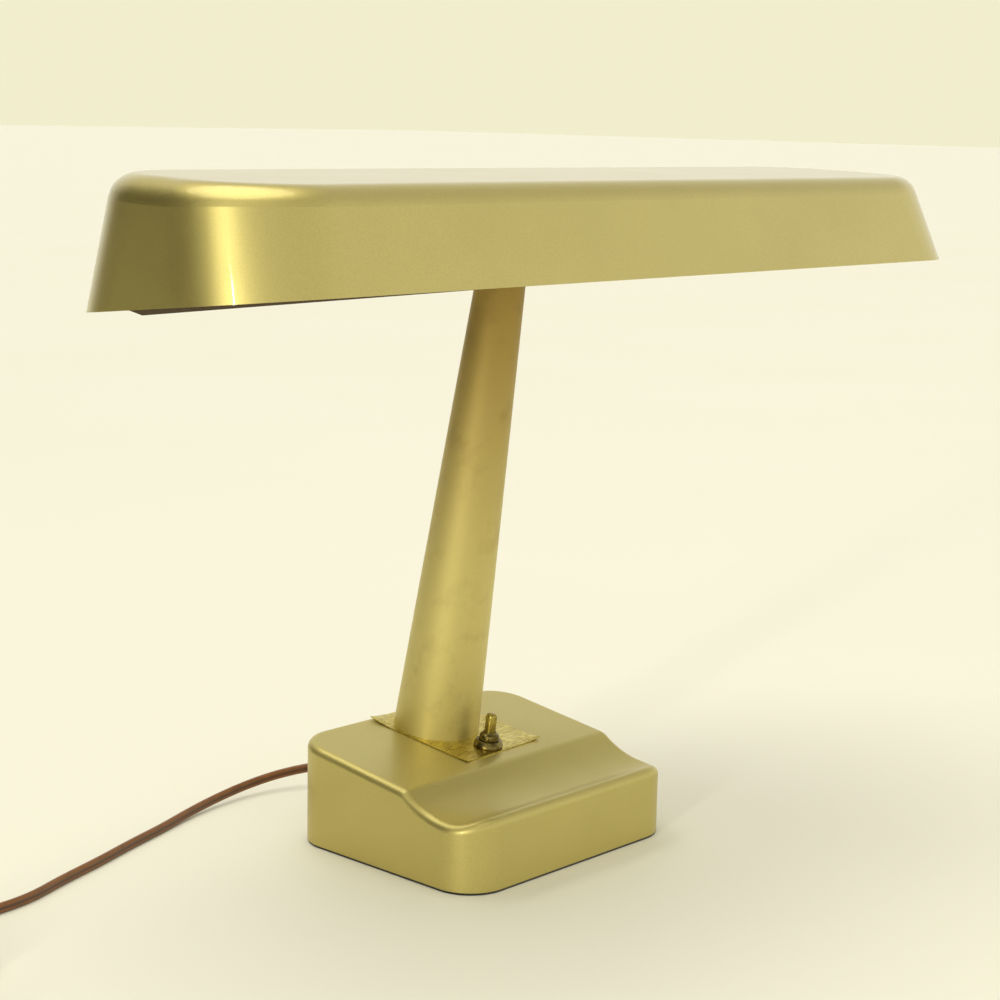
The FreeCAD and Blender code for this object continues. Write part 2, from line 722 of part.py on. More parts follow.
def wiring_pan():
    pan = pan_outline(0, 0, PAN_H).cut(pan_outline(PAN_T, PAN_T, PAN_H + 1))
    pan = pan.cut(rod(ROD_R + 0.6, -1, 2 * PAN_T))
    for side in (-1, 1):
        pan = pan.cut(lead_hole(side))
    for x, y in HANGER_SCREWS:
        pan = pan.cut(rod(HANGER_HOLE_R, -1, 2 * PAN_T, x, y))
    return placed(pan, PAN)


def lead_hole(side):
    """Hole for the lamp leads through the pan's front wall and the arm on it."""
    return rod_y(LEAD_HOLE_R, PAN_FRONT - 5, PAN_FRONT + 5, side * LEAD_X, LEAD_Z)


def shade_bracket(side):
    """Sheet-metal hanger: a foot on the pan, an upright and a head spot-welded to the shade."""
    x = side * STRAP_X
    left = x - HANGER_HALF_W
    right = x + HANGER_HALF_W
    floor = PAN_T + HANGER_LIFT
    foot = placed(box(left, right, STRAP_Y - HANGER_HALF_W, STRAP_Y + HANGER_HALF_W,
                      floor, floor + HANGER_T), PAN)
    for hole_x, hole_y in HANGER_SCREWS:
        foot = foot.cut(placed(rod(HANGER_HOLE_R, 0, 4 * HANGER_T, hole_x, hole_y), PAN))
    edge = STRAP_Y + HANGER_HALF_W - HANGER_T / 2
    start = PAN.multVec(Vector(x, edge, floor + HANGER_T / 2))
    slant = math.atan2(TOP_BACK_Z - TOP_FRONT_Z, TOP_BACK_Y - TOP_FRONT_Y)
    under = Vector(0, TOP_BACK_Y, TOP_BACK_Z - SHEET / math.cos(slant) - WELD_GAP)
    head_z = under.z + math.tan(slant) * (start.y - under.y)
    upright = box(left, right, start.y - HANGER_T / 2, start.y + HANGER_T / 2,
                  start.z, head_z - HANGER_T / 2)
    reach = start.y - under.y
    head_frame = Placement(under, Rotation(Vector(1, 0, 0), math.degrees(slant)))
    head = placed(box(left, right, reach - HANGER_HEAD, reach + HANGER_T / 2, -HANGER_T, 0),
                  head_frame)
    return foot.fuse(upright).fuse(head)


def bracket_screws():
    screws = []
    for x, y in HANGER_SCREWS:
        piece = screw(HANGER_HEAD_R, HANGER_HEAD_H, HANGER_SCREW_R, HANGER_SCREW_L)
        screws.append(placed(placed(piece, Placement(Vector(x, y, 0), Rotation())), PAN))
    return group(screws)


def bracket_nuts():
    nuts = []
    seat = PAN_T + HANGER_LIFT + HANGER_T
    for x, y in HANGER_SCREWS:
        piece = hexagon(HANGER_NUT, seat, seat + HANGER_NUT_H, HANGER_SCREW_R)
        nuts.append(placed(placed(piece, Placement(Vector(x, y, 0), Rotation())), PAN))
    return group(nuts)


def mirrored(side, shape):
    if side > 0:
        return shape
    return shape.mirror(Vector(0, 0, 0), Vector(1, 0, 0))


def holder_bracket(side):
    """Sheet-metal arm that carries a lampholder in front of the pan."""
    foot = box(HOLDER_OUT - ARM_FOOT, HOLDER_OUT + ARM_T, PAN_FRONT - ARM_T, PAN_FRONT,
               ARM_LOW, ARM_HIGH)
    top = SCREW_Z + ARM_HALF_W
    outline = [(PAN_FRONT, ARM_LOW), (TUBE_Y + ARM_HALF_W, ARM_MIDDLE),
               (TUBE_Y - ARM_HALF_W, ARM_END), (TUBE_Y - ARM_HALF_W, top),
               (TUBE_Y + ARM_HALF_W, top), (PAN_FRONT, ARM_HIGH)]
    points = [Vector(HOLDER_OUT, y, z) for y, z in outline]
    arm = Part.Face(Part.makePolygon(points + points[:1])).extrude(Vector(ARM_T, 0, 0))
    bracket = foot.fuse(arm).removeSplitter().cut(lead_hole(1))
    bracket = bracket.cut(rod_x(HOLDER_SCREW_R + 0.2, HOLDER_OUT - 1, HOLDER_OUT + 3,
                                TUBE_Y, SCREW_Z))
    return placed(mirrored(side, bracket), PAN)


def lampholder(side):
    """Bi-pin holder with a round rotor well and an entry slot towards the front."""
    well_end = HOLDER_IN + HOLDER_WELL_L
    round_top = rod_x(HOLDER_HALF_W, HOLDER_IN, HOLDER_OUT, TUBE_Y, TUBE_Z)
    leg = box(HOLDER_IN, HOLDER_OUT, TUBE_Y - HOLDER_HALF_W, TUBE_Y + HOLDER_HALF_W,
              HOLDER_LOW, TUBE_Z)
    holder = round_top.fuse(leg).removeSplitter()
    holder = holder.cut(rod_x(HOLDER_WELL_R, HOLDER_IN - 1, well_end, TUBE_Y, TUBE_Z))
    slot = box(HOLDER_IN - 1, well_end, TUBE_Y - HOLDER_HALF_W - 1, TUBE_Y,
               TUBE_Z - HOLDER_SLOT_H / 2, TUBE_Z + HOLDER_SLOT_H / 2)
    tapped = rod_x(HOLDER_SCREW_R, HOLDER_OUT - HOLDER_SCREW_L, HOLDER_OUT + 1, TUBE_Y, SCREW_Z)
    entry = rod_y(HOLDER_LEAD_R, TUBE_Y + HOLDER_HALF_W / 2, TUBE_Y + HOLDER_HALF_W + 1,
                  LEAD_X, LEAD_END_Z)
    holder = holder.cut(slot).cut(tapped).cut(entry)
    return placed(mirrored(side, holder), PAN)


def holder_screws():
    screws = []
    seat = HOLDER_OUT + ARM_T
    for side in (-1, 1):
        head = rod_x(HOLDER_HEAD_R, seat, seat + HOLDER_HEAD_H, TUBE_Y, SCREW_Z)
        shank = rod_x(HOLDER_SCREW_R, HOLDER_OUT - HOLDER_SCREW_L, seat + 0.1, TUBE_Y, SCREW_Z)
        screws.append(placed(mirrored(side, head.fuse(shank)), PAN))
    return group(screws)


def lamp_leads():
    """A pair of leads along the pan to each holder, through the pan's front wall."""
    wires = []
    points = [(14, -2.0, 14.0), (60, 4.0, 8.0), (200, 4.0, 8.0), (LEAD_X, -4.0, LEAD_Z),
              (LEAD_X, PAN_FRONT - 3, LEAD_Z + 0.4),
              (LEAD_X, TUBE_Y + HOLDER_HALF_W - 1, LEAD_END_Z)]
    for side in (-1, 1):
        route = [Vector(side * x, y, z) for x, y, z in points]
        wires.append(placed(tube_along(route, LEAD_R, "lamp_leads"), PAN))
    return group(wires)


# ---- fluorescent tube ---------------------------------------------------------------
def tube_glass():
    end = TUBE_HALF_L - GLASS_GAP
    glass = rod_x(TUBE_R, -end, end, TUBE_Y, TUBE_Z)
    return placed(glass.cut(rod_x(TUBE_R - GLASS_T, -end - 1, end + 1, TUBE_Y, TUBE_Z)), PAN)


def tube_cap(side):
    start = TUBE_HALF_L - CAP_L
    cap = rod_x(CAP_R, start, TUBE_HALF_L, TUBE_Y, TUBE_Z)
    well = rod_x(TUBE_R + CAP_FIT, start - 1, TUBE_HALF_L - CAP_FACE, TUBE_Y, TUBE_Z)
    return placed(mirrored(side, cap.cut(well)), PAN)


def tube_pins():
    pins = []
    for side in (-1, 1):
        for offset in (-PIN_GAP / 2, PIN_GAP / 2):
            pin = rod_x(PIN_R, TUBE_HALF_L, TUBE_HALF_L + PIN_L, TUBE_Y, TUBE_Z + offset)
            pins.append(placed(mirrored(side, pin), PAN))
    return group(pins)


# ---- mains cord ---------------------------------------------------------------------
def tube_along(points, radius, name):
    """Straight runs joined by arcs as large as their runs allow."""
    edges = []
    radii = []
    here = points[0]
    for before, corner, after in zip(points, points[1:], points[2:]):
        back = before - corner
        ahead = after - corner
        turn = math.pi - back.getAngle(ahead)
        tangent = 0.45 * min(back.Length, ahead.Length)
        bend = tangent / math.tan(turn / 2)
        start = corner + back.normalize() * tangent
        end = corner + ahead.normalize() * tangent
        bisector = (back + ahead).normalize()
        depth = bend / math.cos(turn / 2) - bend
        edges.append(Part.LineSegment(here, start).toShape())
        edges.append(Part.Arc(start, corner + bisector * depth, end).toShape())
        radii.append(bend)
        here = end
    edges.append(Part.LineSegment(here, points[-1]).toShape())
    path = Part.Wire(edges)
    first = points[1] - points[0]
    section = Part.Wire([Part.makeCircle(radius, points[0], first)])
    tube = path.makePipeShell([section], True, True)
    expected = math.pi * radius ** 2 * path.Length
    print(name, "length %.1f" % path.Length, "smallest radius %.1f" % min(radii),
          "volume ratio %.4f" % (tube.Volume / expected))
    return tube


def cord_relief():
    """Moulded strain relief: flange inside, neck through the wall, tapered tail outside."""
    face = BASE_D / 2
    inner = face - SHELL_WALL
    neck = rod_y(RELIEF_NECK_R, inner, face, 0, CORD_EXIT_Z)
    flange = rod_y(RELIEF_FLANGE_R, inner - RELIEF_FLANGE_T, inner, 0, CORD_EXIT_Z)
    collar = rod_y(RELIEF_COLLAR_R, face, face + RELIEF_COLLAR_T, 0, CORD_EXIT_Z)
    tail = Part.makeCone(RELIEF_R, RELIEF_END_R, RELIEF_L - RELIEF_COLLAR_T,
                         Vector(0, face + RELIEF_COLLAR_T, CORD_EXIT_Z), Vector(0, 1, 0))
    return neck.fuse(flange).fuse(collar).fuse(tail)


def power_cord():
    route = [Vector(0, EXIT_Y, CORD_EXIT_Z)]
    route += [Vector(*point) for point in CORD_ROUTE]
    route.append(Vector(COIL_X, COIL_Y + COIL_MEAN_R + 2 * CORD_R, CORD_R + REST_GAP))
    return tube_along(route, CORD_R, "power_cord")


def cord_coil():
    outer = COIL_MEAN_R + COIL_BAND / 2
    inner = COIL_MEAN_R - COIL_BAND / 2
    coil = rod(outer, REST_GAP, COIL_H).cut(rod(inner, -1, COIL_H + 1))
    rims = [edge for edge in coil.Edges if edge.Closed]
    coil = coil.makeFillet(COIL_ROUND, rims)
    return placed(coil, Placement(Vector(COIL_X, COIL_Y, 0), Rotation()))


def cord_tie():
    """Twist tie round the coil's bundle."""
    half = COIL_BAND / 2 + TIE_GAP
    near = COIL_MEAN_R - half
    far = COIL_MEAN_R + half
    high = COIL_H + TIE_GAP
    outer = box(near - TIE_T, far + TIE_T, -TIE_W / 2, TIE_W / 2, REST_GAP, high + TIE_T)
    inner = box(near, far, -TIE_W, TIE_W, REST_GAP + TIE_T, high)
    frame = Placement(Vector(COIL_X, COIL_Y, 0), Rotation(Vector(0, 0, 1), TIE_TURN))
    return placed(outer.cut(inner), frame)


def cord_tail():
    start = Vector(COIL_X - COIL_MEAN_R - 2.5, COIL_Y, COIL_H - CORD_R)
    route = [start] + [Vector(*point) for point in TAIL_ROUTE]
    route.append(Vector(PLUG_X, PLUG_Y, PLUG_Z))
    return tube_along(route, CORD_R, "cord_tail")


PLUG = Placement(Vector(PLUG_X, PLUG_Y, PLUG_Z), Rotation(Vector(1, 0, 0), 90))


def plug_body():
    """Two-pin plug: broad grip that narrows towards the cord."""
    sections = []
    for width, height, corner, along in PLUG_SECTIONS:
        place = Placement(Vector(0, 0, along), Rotation())
        sections.append(rounded_wire(width, height, corner, place))
    return placed(Part.makeLoft(sections, True, True), PLUG)


def plug_blades():
    blades = []
    face = PLUG_SECTIONS[-1][-1]
    for side in (-1, 1):
        x = side * BLADE_OFF
        blade = box(x - BLADE_T / 2, x + BLADE_T / 2, -BLADE_W / 2, BLADE_W / 2,
                    face, face + BLADE_L)
        hole = rod_x(BLADE_HOLE_R, x - BLADE_T, x + BLADE_T, 0, face + BLADE_HOLE_AT)
        blades.append(blade.cut(hole))
    return placed(group(blades), PLUG)


def parts():
    return {
        "base_shell": base_shell(),
        "bottom_plate": bottom_plate(),
        "felt_pad": felt_pad(),
        "bottom_screws": bottom_screws(),
        "ballast_core": ballast_core(),
        "ballast_coil": ballast_coil(),
        "ballast_strap": ballast_strap(),
        "ballast_pad": ballast_pad(),
        "ballast_rivets": ballast_rivets(),
        "escutcheon": escutcheon(),
        "post_tube": post_tube(),
        "lower_centring_disc": centring_disc(DISC_LOW),
        "upper_centring_disc": centring_disc(POST_L - DISC_HIGH),
        "tie_rod": tie_rod(),
        "lower_washer": lower_washer(),
        "lower_nut": lower_nut(),
        "upper_washer": upper_washer(),
        "upper_nut": upper_nut(),
        "post_leads": post_leads(),
        "switch_body": switch_body(),
        "switch_bushing": switch_bushing(),
        "switch_nut": switch_nut(),
        "switch_button": switch_button(),
        "switch_spring": switch_spring(),
        "shade_shell": shade_shell(),
        "wiring_pan": wiring_pan(),
        "shade_bracket_left": shade_bracket(-1),
        "shade_bracket_right": shade_bracket(1),
        "bracket_screws": bracket_screws(),
        "bracket_nuts": bracket_nuts(),
        "holder_bracket_left": holder_bracket(-1),
        "holder_bracket_right": holder_bracket(1),
        "lampholder_left": lampholder(-1),
        "lampholder_right": lampholder(1),
        "holder_screws": holder_screws(),
        "lamp_leads": lamp_leads(),
        "tube_glass": tube_glass(),
        "tube_cap_left": tube_cap(-1),
        "tube_cap_right": tube_cap(1),
        "tube_pins": tube_pins(),
        "cord_relief": cord_relief(),
        "power_cord": power_cord(),
        "cord_coil": cord_coil(),
        "cord_tie": cord_tie(),
        "cord_tail": cord_tail(),
        "plug_body": plug_body(),
        "plug_blades": plug_blades(),
    }


os.makedirs("parts", exist_ok=True)
for name, shape in parts().items():
    solids = shape.Solids
    print("%-22s solids %d valid %s volume %.0f" % (name, len(solids), shape.isValid(),
                                                    shape.Volume))
    if len(solids) == 1:
        shape = solids[0]
    shape.exportStep("parts/" + name + ".step")
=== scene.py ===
import json
import math

import bpy
from bpy.props import FloatProperty, FloatVectorProperty, PointerProperty
from mathutils import Matrix, Quaternion, Vector


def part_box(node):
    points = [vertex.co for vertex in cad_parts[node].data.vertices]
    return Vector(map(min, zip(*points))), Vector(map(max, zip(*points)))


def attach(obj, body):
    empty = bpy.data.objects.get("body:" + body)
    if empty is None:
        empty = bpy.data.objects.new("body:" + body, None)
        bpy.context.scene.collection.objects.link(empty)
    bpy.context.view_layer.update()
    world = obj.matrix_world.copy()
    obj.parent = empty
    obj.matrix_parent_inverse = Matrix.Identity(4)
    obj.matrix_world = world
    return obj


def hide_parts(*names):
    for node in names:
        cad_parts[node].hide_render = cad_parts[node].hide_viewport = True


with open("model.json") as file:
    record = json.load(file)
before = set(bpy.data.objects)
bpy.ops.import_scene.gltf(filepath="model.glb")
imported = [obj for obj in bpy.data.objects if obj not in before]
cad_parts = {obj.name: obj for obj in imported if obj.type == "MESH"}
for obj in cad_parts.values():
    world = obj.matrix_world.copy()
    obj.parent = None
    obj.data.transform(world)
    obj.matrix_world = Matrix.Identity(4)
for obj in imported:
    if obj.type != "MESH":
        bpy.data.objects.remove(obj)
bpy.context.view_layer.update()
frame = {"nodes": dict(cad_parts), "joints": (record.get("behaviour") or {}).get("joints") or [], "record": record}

bl_info = {
    "name": "Fluorescent Desk Lamp Finish",
    "version": (1, 0, 0),
    "blender": (4, 5, 0),
    "location": "3D View > Sidebar > Desk Lamp",
    "description": "Finishes and details for a gold fluorescent desk lamp",
    "category": "Object",
}

NODES = frame["nodes"]
JOINTS = {joint["name"]: joint for joint in frame["joints"]}
MM = 0.001

# Where the CAD model puts things, in degrees and metres: the base's top slopes, the post
# leans and the plate is turned a little.
TOP_SLOPE = 7.33
POST_LEAN = 9.45
PLATE_TURN = 2.2
PLATE_SIZE = (0.057, 0.068)
PLATE_T = 0.0005
PLATE_HOLE_R = 0.0056
SENSOR_WIDTH = 36.0
FLOOR_SIZE = 60

# The lead's route over the table, in metres, from the strain relief to the coil.
LEAD_ROUTE = [
    (0.0, 0.0860, 0.0160),
    (0.0, 0.1040, 0.0146),
    (-0.0080, 0.1195, 0.0114),
    (-0.0250, 0.1285, 0.0090),
    (-0.0460, 0.1315, 0.0066),
    (-0.0690, 0.1295, 0.0046),
    (-0.0930, 0.1240, 0.0032),
    (-0.1180, 0.1150, 0.0026),
    (-0.1450, 0.1065, 0.0026),
    (-0.1720, 0.0965, 0.0026),
    (-0.2000, 0.0880, 0.0026),
    (-0.2260, 0.0780, 0.0026),
    (-0.2520, 0.0765, 0.0026),
    (-0.2840, 0.0800, 0.0026),
]
LOBE_REACH = 122         # how far round each side of its lobe the lead's outline goes
COIL_CENTRE = (-0.314, 0.046)
COIL_INNER_R = 0.024
COIL_OUTER_R = 0.034
COIL_LAYERS = (0.0026, 0.0076, 0.0126)
COIL_STEPS = 16
COIL_TURNS = (3.0, 3.0, 2.25)
COIL_TOP_R = COIL_OUTER_R - 0.0025
COIL_CLIMB = 0.5         # turns over which the lead climbs to the next layer
TAIL_ROUTE = [
    (-0.3465, 0.0320, 0.0122),
    (-0.3485, 0.0140, 0.0096),
    (-0.3500, -0.0020, 0.0080),
]

# Azimuth, elevation and roll in degrees, and the camera's place in metres.
CAMERA_ANGLES = (-47.4825, 10.0811, 1.2414)
CAMERA_PLACE = (-0.78924, -0.73015, 0.36645)
ROOM_STRENGTH = 1.0
DARK_SIDE = (-0.75, 0.66, 0.0)
# A wide overhead glow, as from a diffused ceiling, and a tall narrow strip on the left.
GLOW_STRENGTH = 1.65
GLOW_SPREAD = 60
GLOW_FROM = (-0.12, 0.12, 1.0)
STRIP_PLACE = (-2.03, -0.64, 0.7)
STRIP_AIM = (-0.2, -0.05, 0.3)
STRIP_SIZE = (0.055, 0.9)
STRIP_WATTS = 0.9
STRIP_SPREAD = 45
LIGHT_COLOUR = "#fffdf2"


def srgb(code):
    """Linear colour and full opacity of an sRGB hex value."""
    channels = [int(code[i:i + 2], 16) / 255 for i in (1, 3, 5)]
    linear = [c / 12.92 if c <= 0.04045 else ((c + 0.055) / 1.055) ** 2.4 for c in channels]
    return (*linear, 1.0)


# ---- settings -----------------------------------------------------------------------
class LampFinish(bpy.types.PropertyGroup):
    """Colours and finish of the lamp."""

    enamel: FloatVectorProperty(
        name="Enamel", description="Champagne gold enamel of the base and the shade",
        subtype="COLOR", size=4, default=srgb("#c5b76e"), min=0, max=1)
    enamel_inside: FloatVectorProperty(
        name="Shade Inside", description="White reflector enamel inside the shade",
        subtype="COLOR", size=4, default=srgb("#e9e5d6"), min=0, max=1)
    post: FloatVectorProperty(
        name="Post", description="Lacquered satin gold of the post",
        subtype="COLOR", size=4, default=srgb("#d8cb84"), min=0, max=1)
    foil: FloatVectorProperty(
        name="Plate", description="Thin brass of the escutcheon plate",
        subtype="COLOR", size=4, default=srgb("#dccb66"), min=0, max=1)
    lead: FloatVectorProperty(
        name="Lead", description="Brown vinyl of the twin lead",
        subtype="COLOR", size=4, default=srgb("#70451e"), min=0, max=1)
    enamel_roughness: FloatProperty(
        name="Enamel Roughness", description="How widely the enamel spreads a highlight",
        subtype="FACTOR", default=0.40, min=0, max=1)


class LampSizes(bpy.types.PropertyGroup):
    """Sizes of the pieces that the CAD model holds as plain solids."""

    lead_width: FloatProperty(
        name="Lead Width", description="Width of the flat twin lead",
        unit="LENGTH", subtype="DISTANCE", default=5.0 * MM, min=2 * MM, max=12 * MM)
    lead_thickness: FloatProperty(
        name="Lead Thickness", description="Thickness of the flat twin lead",
        unit="LENGTH", subtype="DISTANCE", default=2.7 * MM, min=1 * MM, max=8 * MM)
    plate_lift: FloatProperty(
        name="Plate Lift", description="How far the plate's loose corners stand up",
        unit="LENGTH", subtype="DISTANCE", default=2.2 * MM, min=0, max=6 * MM)
    camera_lens: FloatProperty(
        name="Lens", description="Focal length on a 36 mm sensor",
        subtype="DISTANCE_CAMERA", default=78.30, min=20, max=200)


# ---- materials ----------------------------------------------------------------------
def add_node(tree, kind, inputs=None, **settings):
    """Adds a node with its settings; each input is a value, a socket or a node to link."""
    made = tree.nodes.new(kind)
    for name, value in settings.items():
        setattr(made, name, value)
    for name, value in (inputs or {}).items():
        in_use = [socket for socket in made.inputs if socket.enabled]
        if isinstance(name, str):
            in_use = [socket for socket in in_use if socket.name == name]
            name = 0
        if isinstance(value, bpy.types.Node):
            value = next(socket for socket in value.outputs if socket.enabled)
        if isinstance(value, bpy.types.NodeSocket):
            tree.links.new(value, in_use[name])
        else:
            in_use[name].default_value = value
    return made


def shade_of(colour, factor):
    """The same colour, lighter or darker."""
    return (*(min(1.0, channel * factor) for channel in colour[:3]), 1.0)


def new_material(name):
    """An empty material, its node tree and the object's own coordinates."""
    material = bpy.data.materials.new(name)
    material.use_nodes = True
    tree = material.node_tree
    tree.nodes.clear()
    return material, tree, add_node(tree, "ShaderNodeTexCoord").outputs["Object"]


def finished(material, tree, shader):
    """Ends the material with this shader."""
    add_node(tree, "ShaderNodeOutputMaterial", {"Surface": shader})
    return material


def gold_enamel(name, finish, gloss, flake_share, two_sided=False):
    """Baked metallic enamel: aluminium flake in a clear gold binder, sprayed on steel.

    The flake spreads light widely, the clear binder over it keeps a faint sharper gloss, and
    the spray leaves a slight orange peel. Real flake is 0.03 mm; it is drawn at 0.5 mm so
    that its speckle shows. The shade keeps more of its gloss than the handled base.
    """
    material, tree, place = new_material(name)
    colour = tuple(finish.enamel)
    flake = add_node(tree, "ShaderNodeTexNoise",
                     {"Vector": place, "Scale": 1 / (0.5 * MM), "Detail": 1.0})
    cloud = add_node(tree, "ShaderNodeTexNoise",
                     {"Vector": place, "Scale": 1 / (45 * MM), "Detail": 3.0})
    peel = add_node(tree, "ShaderNodeTexNoise",
                    {"Vector": place, "Scale": 1 / (2.5 * MM), "Detail": 2.0})
    speckle = add_node(tree, "ShaderNodeMapRange",
                       {"Value": flake, "From Min": 0.32, "From Max": 0.68})
    patches = add_node(tree, "ShaderNodeMapRange",
                       {"Value": cloud, "From Min": 0.3, "From Max": 0.7, "To Max": 0.25})
    tone = add_node(tree, "ShaderNodeMix",
                    {"Factor": speckle, "A": shade_of(colour, 0.93), "B": shade_of(colour, 1.06)},
                    data_type="RGBA")
    tone = add_node(tree, "ShaderNodeMix",
                    {"Factor": patches, "A": tone, "B": shade_of(colour, 0.86)},
                    data_type="RGBA")
    rough = add_node(tree, "ShaderNodeMapRange",
                     {"Value": cloud, "From Min": 0.3, "From Max": 0.7,
                      "To Min": finish.enamel_roughness - 0.03,
                      "To Max": finish.enamel_roughness + 0.03})
    grain = add_node(tree, "ShaderNodeBump",
                     {"Height": flake, "Strength": 0.05, "Distance": 0.05 * MM})
    skin = add_node(tree, "ShaderNodeBump",
                    {"Height": peel, "Strength": 0.06, "Distance": 0.05 * MM, "Normal": grain})
    shader = add_node(tree, "ShaderNodeBsdfPrincipled",
                      {"Base Color": tone, "Metallic": flake_share, "Roughness": rough,
                       "Normal": skin, "Coat Weight": gloss, "Coat Roughness": 0.06})
    if two_sided:
        shader = reflector_side(tree, shader, place, finish)
    return finished(material, tree, shader)


def reflector_side(tree, outside, place, finish):
    """White baked enamel on the faces that look in towards the lamp tube."""
    low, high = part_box("shade_shell")
    middle = (low + high) / 2
    middle.z = low.z
    outward = add_node(tree, "ShaderNodeVectorMath", {0: place, 1: tuple(middle)},
                       operation="SUBTRACT")
    # The shade is long, so its length is shrunk before asking which way a face looks.
    outward = add_node(tree, "ShaderNodeVectorMath", {0: outward, 1: (0.25, 1.0, 1.0)},
                       operation="MULTIPLY")
    normal = add_node(tree, "ShaderNodeNewGeometry").outputs["True Normal"]
    facing = add_node(tree, "ShaderNodeVectorMath", {0: outward, 1: normal},
                      operation="DOT_PRODUCT")
    inside = add_node(tree, "ShaderNodeMath", {0: facing, 1: 0.0}, operation="LESS_THAN")
    stain = add_node(tree, "ShaderNodeTexNoise",
                     {"Vector": place, "Scale": 1 / (30 * MM), "Detail": 4.0})
    yellowed = add_node(tree, "ShaderNodeMapRange",
                        {"Value": stain, "From Min": 0.4, "From Max": 0.75, "To Max": 0.5})
    white = add_node(tree, "ShaderNodeMix",
                     {"Factor": yellowed, "A": tuple(finish.enamel_inside),
                      "B": shade_of(finish.enamel_inside, 0.86)}, data_type="RGBA")
    inner = add_node(tree, "ShaderNodeBsdfPrincipled", {"Base Color": white, "Roughness": 0.38})
    return add_node(tree, "ShaderNodeMixShader", {0: inside, 1: outside, 2: inner})


def satin_post(name, finish):
    """Steel tube, brushed round and lacquered gold.

    Brushing round the tube draws fine rings, spaced 0.1 mm on the real post and drawn at
    0.5 mm, and keeps its highlights soft. Age leaves faint stains and a few scratches. The
    post is drawn darker and browner towards the top as painted shade, where it stands in the
    shade's shadow.
    """
    material, tree, place = new_material(name)
    colour = tuple(finish.post)
    low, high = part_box("post_tube")
    height = add_node(tree, "ShaderNodeSeparateXYZ", {0: place}).outputs["Z"]
    # Painted shade: the post grows darker towards the top, where the shade's shadow falls on it.
    shade_towards_top = add_node(tree, "ShaderNodeMapRange",
                      {"Value": height, "From Min": low.z + (high.z - low.z) * 0.15,
                       "From Max": high.z}, interpolation_type="SMOOTHSTEP")
    rings = add_node(tree, "ShaderNodeMapping",
                     {"Vector": place, "Rotation": (math.radians(-POST_LEAN), 0, 0),
                      "Scale": (0.02, 0.02, 1.0)})
    brushed = add_node(tree, "ShaderNodeTexNoise",
                       {"Vector": rings, "Scale": 1 / (0.5 * MM), "Detail": 3.0,
                        "Roughness": 0.6})
    stain = add_node(tree, "ShaderNodeTexNoise",
                     {"Vector": place, "Scale": 1 / (18 * MM), "Detail": 4.0, "Roughness": 0.6})
    speck = add_node(tree, "ShaderNodeTexNoise",
                     {"Vector": place, "Scale": 1 / (1.6 * MM), "Detail": 2.0,
                      "Roughness": 0.7})
    stained = add_node(tree, "ShaderNodeMapRange",
                       {"Value": stain, "From Min": 0.52, "From Max": 0.74, "To Max": 0.3})
    specks = add_node(tree, "ShaderNodeMapRange",
                      {"Value": speck, "From Min": 0.70, "From Max": 0.78, "To Max": 0.4})
    tone = add_node(tree, "ShaderNodeMix",
                    {"Factor": brushed, "A": shade_of(colour, 0.93), "B": shade_of(colour, 1.06)},
                    data_type="RGBA")
    tone = add_node(tree, "ShaderNodeMix",
                    {"Factor": stained, "A": tone, "B": srgb("#a48d4c")}, data_type="RGBA")
    # Painted shade: a brown-grey tint that deepens towards the top.
    painted_shade_tint = add_node(tree, "ShaderNodeMix",
                       {"Factor": shade_towards_top, "A": srgb("#ffffff"), "B": srgb("#c4b190")},
                       data_type="RGBA")
    tone = add_node(tree, "ShaderNodeMix", {"Factor": 1.0, "A": tone, "B": painted_shade_tint},
                    data_type="RGBA", blend_type="MULTIPLY")
    tone = add_node(tree, "ShaderNodeMix",
                    {"Factor": specks, "A": tone, "B": srgb("#6e5a2a")}, data_type="RGBA")
    rough = add_node(tree, "ShaderNodeMapRange",
                     {"Value": brushed, "From Min": 0.3, "From Max": 0.7, "To Min": 0.56,
                      "To Max": 0.62})
    skin = add_node(tree, "ShaderNodeBump",
                    {"Height": brushed, "Strength": 0.08, "Distance": 0.03 * MM})
    shader = add_node(tree, "ShaderNodeBsdfPrincipled",
                      {"Base Color": tone, "Metallic": 1.0, "Roughness": rough,
                       "Normal": skin, "Coat Weight": 0.2, "Coat Roughness": 0.3})
    return finished(material, tree, shader)


def grained_brass(name, finish):
    """Thin sheet brass pressed over rough stock, so that short streaks run across it.

    The streaks are about 1 mm apart and catch the light one by one. Tarnish sits in the
    hollows, and the ridges are rubbed bright.
    """
    material, tree, place = new_material(name)
    colour = tuple(finish.foil)
    along = add_node(tree, "ShaderNodeMapping",
                     {"Vector": place, "Rotation": (0, 0, math.radians(-PLATE_TURN)),
                      "Scale": (0.22, 1.0, 1.0)})
    ridges = add_node(tree, "ShaderNodeTexNoise",
                      {"Vector": along, "Scale": 1 / (1.0 * MM), "Detail": 4.0,
                       "Roughness": 0.65})
    patch = add_node(tree, "ShaderNodeTexNoise",
                     {"Vector": place, "Scale": 1 / (9 * MM), "Detail": 3.0})
    crests = add_node(tree, "ShaderNodeMapRange",
                      {"Value": ridges, "From Min": 0.36, "From Max": 0.6})
    rubbed = add_node(tree, "ShaderNodeMapRange",
                      {"Value": patch, "From Min": 0.45, "From Max": 0.7, "To Max": 0.4})
    tone = add_node(tree, "ShaderNodeMix",
                    {"Factor": crests, "A": srgb("#a08a38"), "B": colour}, data_type="RGBA")
    tone = add_node(tree, "ShaderNodeMix",
                    {"Factor": rubbed, "A": tone, "B": srgb("#ece09c")}, data_type="RGBA")
    rough = add_node(tree, "ShaderNodeMapRange",
                     {"Value": ridges, "From Min": 0.3, "From Max": 0.7, "To Min": 0.36,
                      "To Max": 0.22})
    skin = add_node(tree, "ShaderNodeBump",
                    {"Height": ridges, "Strength": 0.45, "Distance": 0.25 * MM})
    shader = add_node(tree, "ShaderNodeBsdfPrincipled",
                      {"Base Color": tone, "Metallic": 1.0, "Roughness": rough,
                       "Normal": skin})
    return finished(material, tree, shader)


